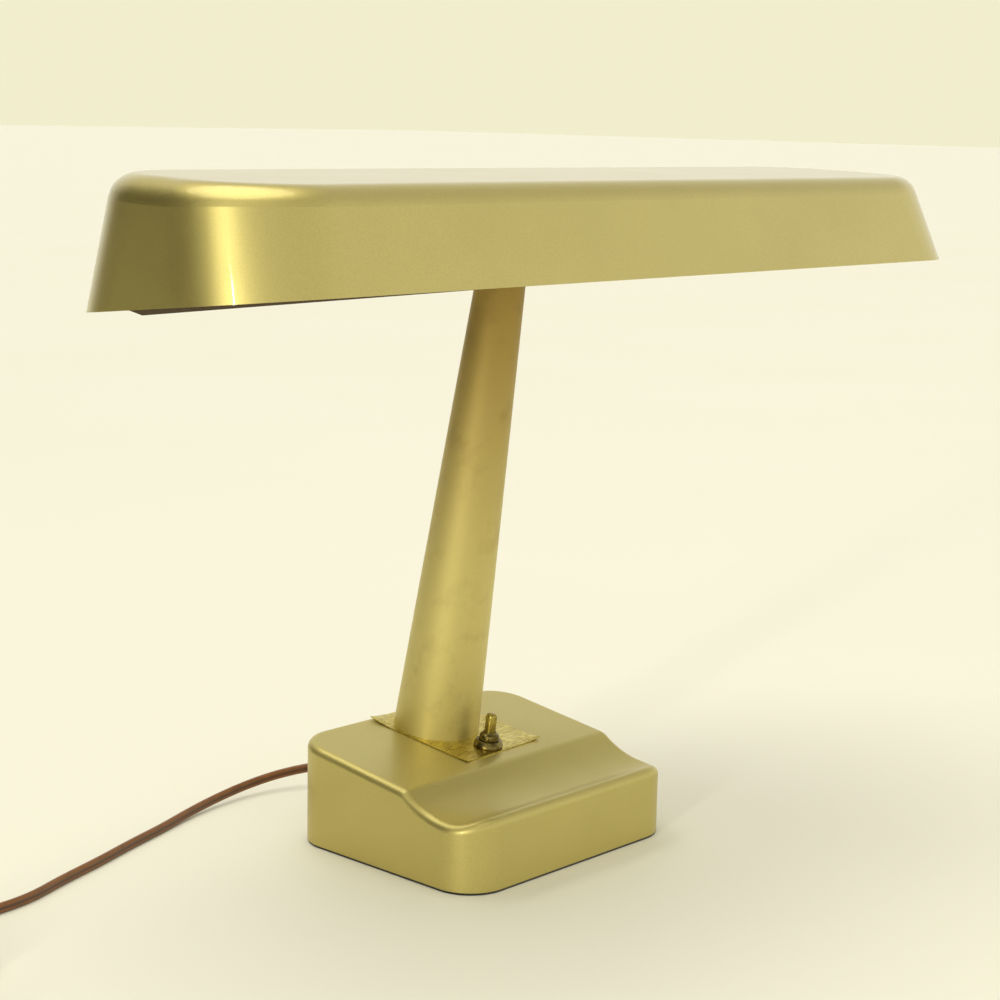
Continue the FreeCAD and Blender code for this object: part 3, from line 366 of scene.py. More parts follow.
def worn_metal(name, bright, dull, grain, roughness, stretch=(1, 1, 1), worn=0.5):
    """Plain metal whose dull colour shows through its bright one in patches of this grain."""
    material, tree, place = new_material(name)
    drawn = add_node(tree, "ShaderNodeMapping", {"Vector": place, "Scale": stretch})
    fine = add_node(tree, "ShaderNodeTexNoise",
                    {"Vector": drawn, "Scale": 1 / grain, "Detail": 4.0, "Roughness": 0.6})
    broad = add_node(tree, "ShaderNodeTexNoise",
                     {"Vector": place, "Scale": 1 / (9 * grain), "Detail": 3.0})
    showing = add_node(tree, "ShaderNodeMapRange",
                       {"Value": fine, "From Min": 0.3, "From Max": 0.6})
    patches = add_node(tree, "ShaderNodeMapRange",
                       {"Value": broad, "From Min": 0.4, "From Max": 0.7, "To Max": worn})
    tone = add_node(tree, "ShaderNodeMix", {"Factor": showing, "A": dull, "B": bright},
                    data_type="RGBA")
    tone = add_node(tree, "ShaderNodeMix", {"Factor": patches, "A": tone, "B": dull},
                    data_type="RGBA")
    rough = add_node(tree, "ShaderNodeMapRange",
                     {"Value": fine, "From Min": 0.3, "From Max": 0.7,
                      "To Min": roughness + 0.07, "To Max": roughness - 0.04})
    skin = add_node(tree, "ShaderNodeBump",
                    {"Height": fine, "Strength": 0.12, "Distance": grain / 10})
    shader = add_node(tree, "ShaderNodeBsdfPrincipled",
                      {"Base Color": tone, "Metallic": 1.0, "Roughness": rough,
                       "Normal": skin})
    return finished(material, tree, shader)


def moulded(name, colour, grain, roughness, ior=1.46, coat=0.0, depth=0.2, spread=0.12):
    """Plastic, rubber, paper or fibre: one colour with a mottle and a surface of this grain."""
    material, tree, place = new_material(name)
    fine = add_node(tree, "ShaderNodeTexNoise",
                    {"Vector": place, "Scale": 1 / grain, "Detail": 3.0, "Roughness": 0.55})
    broad = add_node(tree, "ShaderNodeTexNoise",
                     {"Vector": place, "Scale": 1 / (14 * grain), "Detail": 3.0})
    mottle = add_node(tree, "ShaderNodeMapRange",
                      {"Value": fine, "From Min": 0.3, "From Max": 0.7})
    dulled = add_node(tree, "ShaderNodeMapRange",
                      {"Value": broad, "From Min": 0.35, "From Max": 0.7, "To Max": 0.4})
    tone = add_node(tree, "ShaderNodeMix",
                    {"Factor": mottle, "A": shade_of(colour, 1 - spread),
                     "B": shade_of(colour, 1 + spread)}, data_type="RGBA")
    tone = add_node(tree, "ShaderNodeMix",
                    {"Factor": dulled, "A": tone, "B": shade_of(colour, 1 - 2 * spread)},
                    data_type="RGBA")
    rough = add_node(tree, "ShaderNodeMapRange",
                     {"Value": broad, "From Min": 0.3, "From Max": 0.7,
                      "To Min": roughness - 0.04, "To Max": roughness + 0.06})
    skin = add_node(tree, "ShaderNodeBump",
                    {"Height": fine, "Strength": depth, "Distance": grain / 4})
    shader = add_node(tree, "ShaderNodeBsdfPrincipled",
                      {"Base Color": tone, "Roughness": rough, "IOR": ior, "Normal": skin,
                       "Coat Weight": coat})
    return finished(material, tree, shader)


def felt(name):
    """Pressed wool felt, black: no gloss, and a fuzz of fibres about 0.5 mm apart."""
    material, tree, place = new_material(name)
    fibre = add_node(tree, "ShaderNodeTexNoise",
                     {"Vector": place, "Scale": 1 / (0.5 * MM), "Detail": 6.0,
                      "Roughness": 0.75})
    tone = add_node(tree, "ShaderNodeMix",
                    {"Factor": fibre, "A": srgb("#12100d"), "B": srgb("#3a342b")},
                    data_type="RGBA")
    skin = add_node(tree, "ShaderNodeBump",
                    {"Height": fibre, "Strength": 0.8, "Distance": 0.3 * MM})
    shader = add_node(tree, "ShaderNodeBsdfPrincipled",
                      {"Base Color": tone, "Roughness": 0.95, "Sheen Weight": 0.3,
                       "Sheen Roughness": 0.5, "Normal": skin})
    return finished(material, tree, shader)


def phosphor_glass(name):
    """Soda glass coated inside with white phosphor: milky, with a clear gloss over it.

    Use leaves a grey-brown bloom on the last 30 mm at each end.
    """
    material, tree, place = new_material(name)
    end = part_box("tube_glass")[1].x
    along = add_node(tree, "ShaderNodeSeparateXYZ", {0: place}).outputs["X"]
    distance = add_node(tree, "ShaderNodeMath", {0: along}, operation="ABSOLUTE")
    bloom = add_node(tree, "ShaderNodeMapRange",
                     {"Value": distance, "From Min": end - 30 * MM, "From Max": end - 6 * MM,
                      "To Max": 0.7})
    powder = add_node(tree, "ShaderNodeTexNoise",
                      {"Vector": place, "Scale": 1 / (1.5 * MM), "Detail": 3.0})
    tone = add_node(tree, "ShaderNodeMix",
                    {"Factor": powder, "A": srgb("#f3f2ea"), "B": srgb("#e9e8df")},
                    data_type="RGBA")
    tone = add_node(tree, "ShaderNodeMix",
                    {"Factor": bloom, "A": tone, "B": srgb("#7d7263")}, data_type="RGBA")
    rough = add_node(tree, "ShaderNodeMapRange",
                     {"Value": powder, "From Min": 0.3, "From Max": 0.7, "To Min": 0.10,
                      "To Max": 0.16})
    shader = add_node(tree, "ShaderNodeBsdfPrincipled",
                      {"Base Color": tone, "Roughness": rough, "IOR": 1.5,
                       "Coat Weight": 0.5, "Coat Roughness": 0.04})
    return finished(material, tree, shader)


def vinyl_lead(name, finish):
    """Extruded brown vinyl, satin, drawn darker in its groove, with a faint flow grain along it."""
    material, tree, place = new_material(name)
    colour = tuple(finish.lead)
    along = add_node(tree, "ShaderNodeUVMap", uv_map="along_and_round")
    across = add_node(tree, "ShaderNodeSeparateXYZ", {0: along}).outputs["Y"]
    groove = add_node(tree, "ShaderNodeAttribute", attribute_name="groove",
                      attribute_type="GEOMETRY").outputs["Fac"]
    mottle = add_node(tree, "ShaderNodeTexNoise",
                      {"Vector": place, "Scale": 1 / (6 * MM), "Detail": 3.0})
    round_it = add_node(tree, "ShaderNodeCombineXYZ", {"Y": across})
    flow = add_node(tree, "ShaderNodeTexNoise",
                    {"Vector": round_it, "Scale": 60.0, "Detail": 2.0})
    blotch = add_node(tree, "ShaderNodeMapRange",
                      {"Value": mottle, "From Min": 0.3, "From Max": 0.7})
    lines = add_node(tree, "ShaderNodeMapRange",
                     {"Value": flow, "From Min": 0.4, "From Max": 0.65, "To Max": 0.3})
    # Darker in the groove between the two lobes.
    groove_darkening = add_node(tree, "ShaderNodeMapRange", {"Value": groove, "To Max": 0.7})
    tone = add_node(tree, "ShaderNodeMix",
                    {"Factor": blotch, "A": shade_of(colour, 0.9), "B": shade_of(colour, 1.4)},
                    data_type="RGBA")
    tone = add_node(tree, "ShaderNodeMix",
                    {"Factor": lines, "A": tone, "B": shade_of(colour, 1.7)}, data_type="RGBA")
    tone = add_node(tree, "ShaderNodeMix",
                    {"Factor": groove_darkening, "A": tone, "B": srgb("#2b170b")}, data_type="RGBA")
    rough = add_node(tree, "ShaderNodeMapRange",
                     {"Value": mottle, "From Min": 0.3, "From Max": 0.7, "To Min": 0.34,
                      "To Max": 0.46})
    skin = add_node(tree, "ShaderNodeBump",
                    {"Height": flow, "Strength": 0.15, "Distance": 0.05 * MM})
    shader = add_node(tree, "ShaderNodeBsdfPrincipled",
                      {"Base Color": tone, "Roughness": rough, "IOR": 1.52, "Normal": skin})
    return finished(material, tree, shader)


def make_materials(finish):
    """Every finish on the lamp, by the record's material slot."""
    return {
        "gold_enamel": gold_enamel("gold_enamel", finish, 0.1, 0.75),
        "shade_enamel": gold_enamel("shade_enamel", finish, 0.6, 0.95, two_sided=True),
        "satin_gold_post": satin_post("satin_gold_post", finish),
        "brass_foil": grained_brass("brass_foil", finish),
        # Dark brown as painted shade, where the pan sits in the shade's shadow.
        "pan_shade_dark": moulded("pan_shade_dark", srgb("#4a3716"), 1.5 * MM, 0.5, 1.5),
        # Brass darkened by handling, rubbed bright in patches.
        "aged_brass": worn_metal("aged_brass", srgb("#8f8048"), srgb("#4c4022"), 3 * MM, 0.3),
        # Brass kept bright by the fingertip that presses it.
        "button_brass": worn_metal("button_brass", srgb("#b5a352"), srgb("#7d6e33"), 5 * MM,
                                   0.28, worn=0.3),
        # Bright zinc plate: pale blue-grey, with the soft spangle of barrel plating.
        "zinc_steel": worn_metal("zinc_steel", srgb("#c3c4c2"), srgb("#96999b"), 1 * MM, 0.32),
        # Drawn spring wire: darker than plate, polished by its die.
        "spring_steel": worn_metal("spring_steel", srgb("#a9acae"), srgb("#777a7d"), 0.4 * MM,
                                   0.25),
        # Varnished transformer steel: the laminations, 0.5 mm thick, show on its sides.
        "lamination_steel": worn_metal("lamination_steel", srgb("#5c5d60"), srgb("#2f3033"),
                                       0.5 * MM, 0.42, (1.0, 0.04, 0.04)),
        # Cotton tape soaked in amber varnish over the winding.
        "wound_coil": moulded("wound_coil", srgb("#8a5a2b"), 0.8 * MM, 0.4, 1.5, 0.3, 0.5),
        # Pressed fibre board, grey-brown, dead flat.
        "fibre_board": moulded("fibre_board", srgb("#8d7452"), 0.5 * MM, 0.85, 1.45),
        "black_felt": felt("black_felt"),
        # Moulded phenolic: dark brown with a faint mottle, dull gloss.
        "brown_phenolic": moulded("brown_phenolic", srgb("#3b2417"), 1.2 * MM, 0.35, 1.6),
        # Moulded urea, white gone ivory, satin.
        "white_plastic": moulded("white_plastic", srgb("#ebe6d4"), 0.8 * MM, 0.4, 1.5,
                                 depth=0.1, spread=0.04),
        # Extruded insulation, off-white, smooth.
        "lead_insulation": moulded("lead_insulation", srgb("#d8d2bd"), 0.6 * MM, 0.38, 1.5,
                                   depth=0.1, spread=0.06),
        "tube_glass": phosphor_glass("tube_glass"),
        # Drawn aluminium, fine rings from the lathe.
        "cap_aluminium": worn_metal("cap_aluminium", srgb("#d6d7d8"), srgb("#a9abad"),
                                    0.4 * MM, 0.3, (1.0, 0.05, 0.05)),
        # Stamped brass with a nickel flash worn thin.
        "pin_brass": worn_metal("pin_brass", srgb("#d9c48a"), srgb("#a58a4a"), 0.6 * MM, 0.26),
        # Moulded rubber: brown, dull, with a fine matt grain.
        "brown_rubber": moulded("brown_rubber", srgb("#3c2415"), 0.5 * MM, 0.6, 1.52,
                                depth=0.3),
        "brown_vinyl": vinyl_lead("brown_vinyl", finish),
        # Paper skin over wire: black, matt, slightly creased.
        "tie_plastic": moulded("tie_plastic", srgb("#262320"), 0.6 * MM, 0.7, 1.45),
        # Moulded vinyl plug: brown, a little glossier than the lead.
        "plug_plastic": moulded("plug_plastic", srgb("#4a2a15"), 0.7 * MM, 0.36, 1.52, 0.1),
    }


def dress(piece, slot):
    """Gives a new piece the material of this slot."""
    piece.data.materials.clear()
    piece.data.materials.append(FINISHES[slot])
    return piece


# ---- modelling helpers --------------------------------------------------------------
def deselect():
    if bpy.context.object and bpy.context.object.mode != "OBJECT":
        bpy.ops.object.mode_set(mode="OBJECT")
    bpy.ops.object.select_all(action="DESELECT")


def named(piece, name):
    piece.name = name
    piece.data.name = name
    return piece


def settle(piece, place=Matrix.Identity(4), angle=35):
    """Puts a finished piece in place, with its place in its mesh, and smooths it."""
    deselect()
    piece.select_set(True)
    bpy.context.view_layer.objects.active = piece
    piece.matrix_world = place @ piece.matrix_world
    bpy.ops.object.transform_apply(location=True, rotation=True, scale=True)
    bpy.ops.object.shade_smooth_by_angle(angle=math.radians(angle))
    piece.select_set(False)
    return piece


def turned(name, profile, place, sides=64, angle=35, bored=False):
    """Lathe work: a disc, or a ring if bored, drawn through (radius, height) points."""
    radius, height = profile[0]
    deselect()
    bpy.ops.mesh.primitive_circle_add(vertices=sides, radius=radius, location=(0, 0, height),
                                      fill_type="NOTHING" if bored else "NGON")
    piece = named(bpy.context.object, name)
    bpy.ops.object.transform_apply(location=True, rotation=False, scale=False)
    bpy.ops.object.mode_set(mode="EDIT")
    for next_radius, next_height in profile[1:]:
        rise = next_height - height
        bpy.ops.mesh.extrude_region_move(TRANSFORM_OT_translate={"value": (0, 0, rise)})
        ratio = next_radius / radius
        bpy.ops.transform.resize(value=(ratio, ratio, 1), center_override=(0, 0, next_height))
        radius = next_radius
        height = next_height
    if bored:
        bpy.ops.mesh.select_non_manifold()
        bpy.ops.mesh.bridge_edge_loops()
    bpy.ops.mesh.select_all(action="SELECT")
    bpy.ops.mesh.normals_make_consistent(inside=False)
    bpy.ops.object.mode_set(mode="OBJECT")
    return settle(piece, place, angle)


def in_metres(profile):
    return [(radius * MM, height * MM) for radius, height in profile]


def frame_on(point, axis):
    """Frame at point whose Z runs along axis."""
    turn = Vector((0, 0, 1)).rotation_difference(Vector(axis).normalized())
    return Matrix.Translation(point) @ turn.to_matrix().to_4x4()


# ---- the lead -----------------------------------------------------------------------
def coil_points():
    """The coil: in along the table, out on the second layer and in again on the third."""
    radii = ((COIL_OUTER_R, COIL_INNER_R), (COIL_INNER_R, COIL_OUTER_R),
             (COIL_OUTER_R, COIL_TOP_R))
    points = []
    turned_by = 0.0
    height = COIL_LAYERS[0]
    for (first, last), turns, level in zip(radii, COIL_TURNS, COIL_LAYERS):
        steps = round(turns * COIL_STEPS)
        for step in range(1, steps + 1):
            share = step / steps
            angle = math.pi / 2 + 2 * math.pi * (turned_by + turns * share)
            radius = first + (last - first) * share
            climb = min(1.0, share * turns / COIL_CLIMB)
            z = height + (level - height) * climb
            points.append((COIL_CENTRE[0] + radius * math.cos(angle),
                           COIL_CENTRE[1] + radius * math.sin(angle), z))
        turned_by += turns
        height = level
    return points


def lead_line(points):
    """Points along the smooth line that these points control."""
    data = bpy.data.curves.new("lead_line", "CURVE")
    data.dimensions = "3D"
    data.resolution_u = 6
    spline = data.splines.new("NURBS")
    spline.points.add(len(points) - 1)
    for control, point in zip(spline.points, points):
        control.co = (*point, 1.0)
    spline.order_u = 3
    spline.use_endpoint_u = True
    guide = bpy.data.objects.new("lead_line", data)
    bpy.context.scene.collection.objects.link(guide)
    bpy.context.view_layer.update()
    mesh = bpy.data.meshes.new_from_object(guide)
    line = [vertex.co.copy() for vertex in mesh.vertices]
    bpy.data.objects.remove(guide)
    bpy.data.curves.remove(data)
    bpy.data.meshes.remove(mesh)
    return line


def twin_section(width, thickness, steps=9):
    """Outline of the lead: two round lobes with a groove between them on each side."""
    radius = thickness / 2
    offset = width / 2 - radius
    reach = math.radians(LOBE_REACH)
    outline = []
    for side in (1, -1):
        for step in range(steps):
            angle = -reach + 2 * reach * step / (steps - 1)
            x = side * (offset + radius * math.cos(angle))
            y = side * radius * math.sin(angle)
            outline.append((x, y, step in (0, steps - 1)))
    return outline


def lead_tube(name, line, outline):
    """Carries the outline along the line, its broad side upright."""
    count = len(outline)
    vertices = []
    grooves = []
    for i, point in enumerate(line):
        ahead = (line[min(i + 1, len(line) - 1)] - line[max(i - 1, 0)]).normalized()
        side = ahead.cross(Vector((0, 0, 1))).normalized()
        up = side.cross(ahead).normalized()
        for across, out, in_groove in outline:
            vertices.append(point + up * across + side * out)
            grooves.append(1.0 if in_groove else 0.0)
    faces = []
    for i in range(len(line) - 1):
        for j in range(count):
            k = (j + 1) % count
            faces.append((i * count + j, i * count + k, (i + 1) * count + k,
                          (i + 1) * count + j))
    faces.append(tuple(range(count))[::-1])
    last = (len(line) - 1) * count
    faces.append(tuple(range(last, last + count)))
    mesh = bpy.data.meshes.new(name)
    mesh.from_pydata(vertices, [], faces)
    groove = mesh.attributes.new("groove", "FLOAT", "POINT")
    groove.data.foreach_set("value", grooves)
    layer = mesh.uv_layers.new(name="along_and_round")
    for loop in mesh.loops:
        ring, around = divmod(loop.vertex_index, count)
        layer.data[loop.index].uv = (ring / len(line), around / count)
    piece = bpy.data.objects.new(name, mesh)
    bpy.context.scene.collection.objects.link(piece)
    deselect()
    piece.select_set(True)
    bpy.context.view_layer.objects.active = piece
    bpy.ops.object.mode_set(mode="EDIT")
    bpy.ops.mesh.select_all(action="SELECT")
    bpy.ops.mesh.normals_make_consistent(inside=False)
    bpy.ops.object.mode_set(mode="OBJECT")
    return settle(piece, angle=50)


class LAMP_OT_lead(bpy.types.Operator):
    bl_idname = "lamp.lead"
    bl_label = "Lead"

    def execute(self, context):
        sizes = context.scene.lamp_sizes
        points = LEAD_ROUTE + coil_points() + TAIL_ROUTE
        line = lead_line(points)
        outline = twin_section(sizes.lead_width, sizes.lead_thickness)
        lead = lead_tube("twin_lead", line, outline)
        dress(lead, "brown_vinyl")
        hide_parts("power_cord", "cord_coil", "cord_tail")
        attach(lead, "lamp")
        return {"FINISHED"}


RELIEF_RIBS = 6
RELIEF_PITCH = 3.0
RELIEF_TAPER = 0.32      # each rib is this much smaller in radius than the last, in mm


def relief_profile():
    """Collar, then a taper cut into soft ribs; heights run out from the base's wall."""
    profile = [(6.4, 0.0), (6.4, 2.1), (6.1, 2.5), (5.2, 2.6)]
    for i in range(RELIEF_RIBS):
        start = 2.8 + i * RELIEF_PITCH
        radius = 5.2 - RELIEF_TAPER * i
        profile += [(radius, start), (radius - 0.1, start + 1.7), (radius - 0.9, start + 1.9),
                    (radius - 0.95, start + 2.7)]
    return in_metres(profile + [(3.3, 21.6), (3.1, 22.3), (2.4, 22.5)])


class LAMP_OT_relief(bpy.types.Operator):
    """Makes the ribbed strain relief at the back of the base"""

    bl_idname = "lamp.relief"
    bl_label = "Strain Relief"

    def execute(self, context):
        low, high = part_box("cord_relief")
        back_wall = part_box("base_shell")[1].y
        foot = Vector(((low.x + high.x) / 2, back_wall, (low.z + high.z) / 2))
        relief = turned("strain_relief", relief_profile(), frame_on(foot, (0, 1, 0)), 48, 30)
        dress(relief, "brown_rubber")
        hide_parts("cord_relief")
        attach(relief, "lamp")
        return {"FINISHED"}


# ---- plate and switch ---------------------------------------------------------------
def lift_corner(piece, corner, height, size):
    """Bends one corner of the plate up, softly."""
    bpy.ops.mesh.select_all(action="DESELECT")
    bpy.ops.object.mode_set(mode="OBJECT")
    nearest = min(piece.data.vertices, key=lambda v: (v.co.xy - Vector(corner)).length)
    nearest.select = True
    bpy.ops.object.mode_set(mode="EDIT")
    bpy.ops.transform.translate(value=(0, 0, height), use_proportional_edit=True,
                                proportional_edit_falloff="SHARP", proportional_size=size,
                                use_proportional_connected=True)


def cut_round_hole(piece, centre, radius):
    """Removes the plate inside a circle."""
    bpy.ops.mesh.select_all(action="DESELECT")
    bpy.ops.object.mode_set(mode="OBJECT")
    for face in piece.data.polygons:
        face.select = (face.center.xy - Vector(centre)).length < radius
    bpy.ops.object.mode_set(mode="EDIT")
    bpy.ops.mesh.delete(type="FACE")


def rumple(piece, name, strength, size, direction):
    """Uneven sheet: moves its points by a soft noise."""
    texture = bpy.data.textures.new(name, "CLOUDS")
    texture.noise_scale = size
    texture.noise_depth = 2
    modifier = piece.modifiers.new(name, "DISPLACE")
    modifier.texture = texture
    modifier.texture_coords = "LOCAL"
    modifier.direction = direction
    modifier.strength = strength
    modifier.mid_level = 0.5
    deselect()
    piece.select_set(True)
    bpy.context.view_layer.objects.active = piece
    bpy.ops.object.modifier_apply(modifier=modifier.name)


# Each rumple's name, height, grain and direction.
PLATE_RUMPLES = [
    ("ragged_sides", 0.4 * MM, 4 * MM, "X"),
    ("ragged_ends", 0.5 * MM, 3 * MM, "Y"),
    ("creases", 0.2 * MM, 8 * MM, "Z"),
]
# Each bend's place in half sizes of the plate, its share of the lift and its reach.
PLATE_BENDS = [
    ((-1, -1), 0.2, 6 * MM),
    ((1, -1), 0.7, 9 * MM),
    ((1, 1), 0.4, 12 * MM),
    ((-1, 1), 0.7, 18 * MM),
    ((1, 2 / 34), 0.3, 6 * MM),
]


class LAMP_OT_plate(bpy.types.Operator):
    """Makes the thin brass plate under the post and the switch"""

    bl_idname = "lamp.plate"
    bl_label = "Brass Plate"

    def execute(self, context):
        lift = context.scene.lamp_sizes.plate_lift
        half_x, half_y = PLATE_SIZE[0] / 2, PLATE_SIZE[1] / 2
        deselect()
        bpy.ops.mesh.primitive_grid_add(x_subdivisions=76, y_subdivisions=90, size=1)
        plate = named(bpy.context.object, "brass_plate")
        plate.scale = (PLATE_SIZE[0], PLATE_SIZE[1], 1)
        bpy.ops.object.transform_apply(scale=True)
        for name, height, grain, direction in PLATE_RUMPLES:
            rumple(plate, name, height, grain, direction)
        bpy.ops.object.mode_set(mode="EDIT")
        for (across, along), share, reach in PLATE_BENDS:
            lift_corner(plate, (across * half_x, along * half_y), lift * share, reach)
        low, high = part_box("escutcheon")
        place = Matrix.Translation((low + high) / 2)
        place = place @ Matrix.Rotation(math.radians(TOP_SLOPE), 4, "X")
        place = place @ Matrix.Rotation(math.radians(PLATE_TURN), 4, "Z")
        rod_low, rod_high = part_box("tie_rod")
        post_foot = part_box("post_tube")[0].z
        bushing_low, bushing_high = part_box("switch_bushing")
        for centre in (Vector(((rod_low.x + rod_high.x) / 2, rod_high.y, post_foot)),
                       (bushing_low + bushing_high) / 2):
            cut_round_hole(plate, (place.inverted() @ centre).xy, PLATE_HOLE_R)
        bpy.ops.object.mode_set(mode="OBJECT")
        sheet = plate.modifiers.new("sheet", "SOLIDIFY")
        sheet.thickness = PLATE_T
        sheet.offset = 0
        bpy.context.view_layer.objects.active = plate
        bpy.ops.object.modifier_apply(modifier=sheet.name)
        settle(plate, place, 40)
        dress(plate, "brass_foil")
        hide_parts("escutcheon")
        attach(plate, "lamp")
        return {"FINISHED"}


def switch_frame():
    """Frame on the base's top, where the button's line meets it."""
    up = -Vector(JOINTS["button_press"]["axis"])
    low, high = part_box("switch_nut")
    nut_low = min(v.co.dot(up) for v in NODES["switch_nut"].data.vertices)
    middle = (low + high) / 2
    return frame_on(middle + up * (nut_low - middle.dot(up) - 0.5 * MM), up)


# Radius and height in mm above the base's top, up the outside and down the bore.
NUT_PROFILE = [(7.2, 0.52), (7.5, 0.8), (7.5, 1.9), (7.3, 2.2), (6.5, 3.9), (6.2, 4.15),
               (4.8, 4.15), (4.75, 0.52)]
COLLAR_PROFILE = [(4.65, 4.2), (5.1, 4.2), (5.25, 4.4), (5.25, 4.8), (5.0, 5.0), (5.0, 6.5),
                  (4.8, 6.9), (4.2, 7.3), (3.6, 7.8), (3.3, 8.5), (3.1, 8.6), (3.0, 8.5)]
BUTTON_PROFILE = [(2.85, 5.0), (2.85, 16.5), (2.75, 17.0), (2.5, 17.5), (2.05, 17.9),
                  (1.4, 18.12), (0.6, 18.2)]


class LAMP_OT_switch(bpy.types.Operator):
    """Makes the switch's stepped nut, its bushing's collar and the domed push button"""

    bl_idname = "lamp.switch"
    bl_label = "Push Switch"

    def execute(self, context):
        place = switch_frame()
        up = place.to_3x3() @ Vector((0, 0, 1))
        depths = [(v.co - place.translation).dot(up) / MM
                  for v in NODES["switch_bushing"].data.vertices]
        foot = min(depths)
        bushing = [(4.4, foot), (4.65, foot + 0.4)] + COLLAR_PROFILE + [(3.0, foot)]
        pieces = [
            ("stepped_nut", "switch_nut", "aged_brass", "lamp", NUT_PROFILE, 64, True),
            ("switch_collar", "switch_bushing", "aged_brass", "lamp", bushing, 64, True),
            ("push_button", "switch_button", "button_brass", "button", BUTTON_PROFILE, 48,
             False),
        ]
        for name, node, slot, body, profile, sides, bored in pieces:
            piece = turned(name, in_metres(profile), place, sides, bored=bored)
            dress(piece, slot)
            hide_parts(node)
            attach(piece, body)
        return {"FINISHED"}


# ---- carried-over nodes -------------------------------------------------------------
# The shade is white inside, and the wiring pan under it is drawn dark brown as painted shade.
OWN_FINISH = {"shade_shell": "shade_enamel", "wiring_pan": "pan_shade_dark"}


class LAMP_OT_body(bpy.types.Operator):
    """Gives the base, post, shade and every inner part its finish"""

    bl_idname = "lamp.body"
    bl_label = "Body Finishes"

    def execute(self, context):
        for part in frame["record"]["subparts"]:
            node = NODES[part["node"]]
            finish = OWN_FINISH.get(part["node"], part["material_slot"])
            node.data.materials.clear()
            node.data.materials.append(FINISHES[finish])
        return {"FINISHED"}


CAP_LENGTH = 13
# Radius and height in mm of a drawn end cap: a skirt with a rolled mouth, two crimp rings
# and a rounded shoulder.
CAP_PROFILE = [(12.75, 0.0), (13.0, 0.2), (13.0, 1.2), (12.8, 1.5), (12.8, 2.4), (13.0, 2.7),
               (13.0, 9.6), (12.8, 9.9), (12.8, 10.6), (13.0, 10.9), (13.0, 11.9),
               (12.7, 12.6), (12.0, 12.95), (9.0, CAP_LENGTH)]


class LAMP_OT_tube_caps(bpy.types.Operator):
    """Makes the lamp tube's two end caps"""

    bl_idname = "lamp.tube_caps"
    bl_label = "Tube Caps"

    def execute(self, context):
        axis = Vector(JOINTS["tube_turn"]["axis"]).normalized()
        centre = Vector(JOINTS["tube_turn"]["pos_m"])
        for side, node in ((-1, "tube_cap_left"), (1, "tube_cap_right")):
            reach = max(side * (v.co - centre).dot(axis) for v in NODES[node].data.vertices)
            outward = axis * side
            place = frame_on(centre + outward * (reach - CAP_LENGTH * MM), outward)
            cap = turned(node + "_drawn", in_metres(CAP_PROFILE), place)
            dress(cap, "cap_aluminium")
            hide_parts(node)
            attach(cap, "tube")
        return {"FINISHED"}


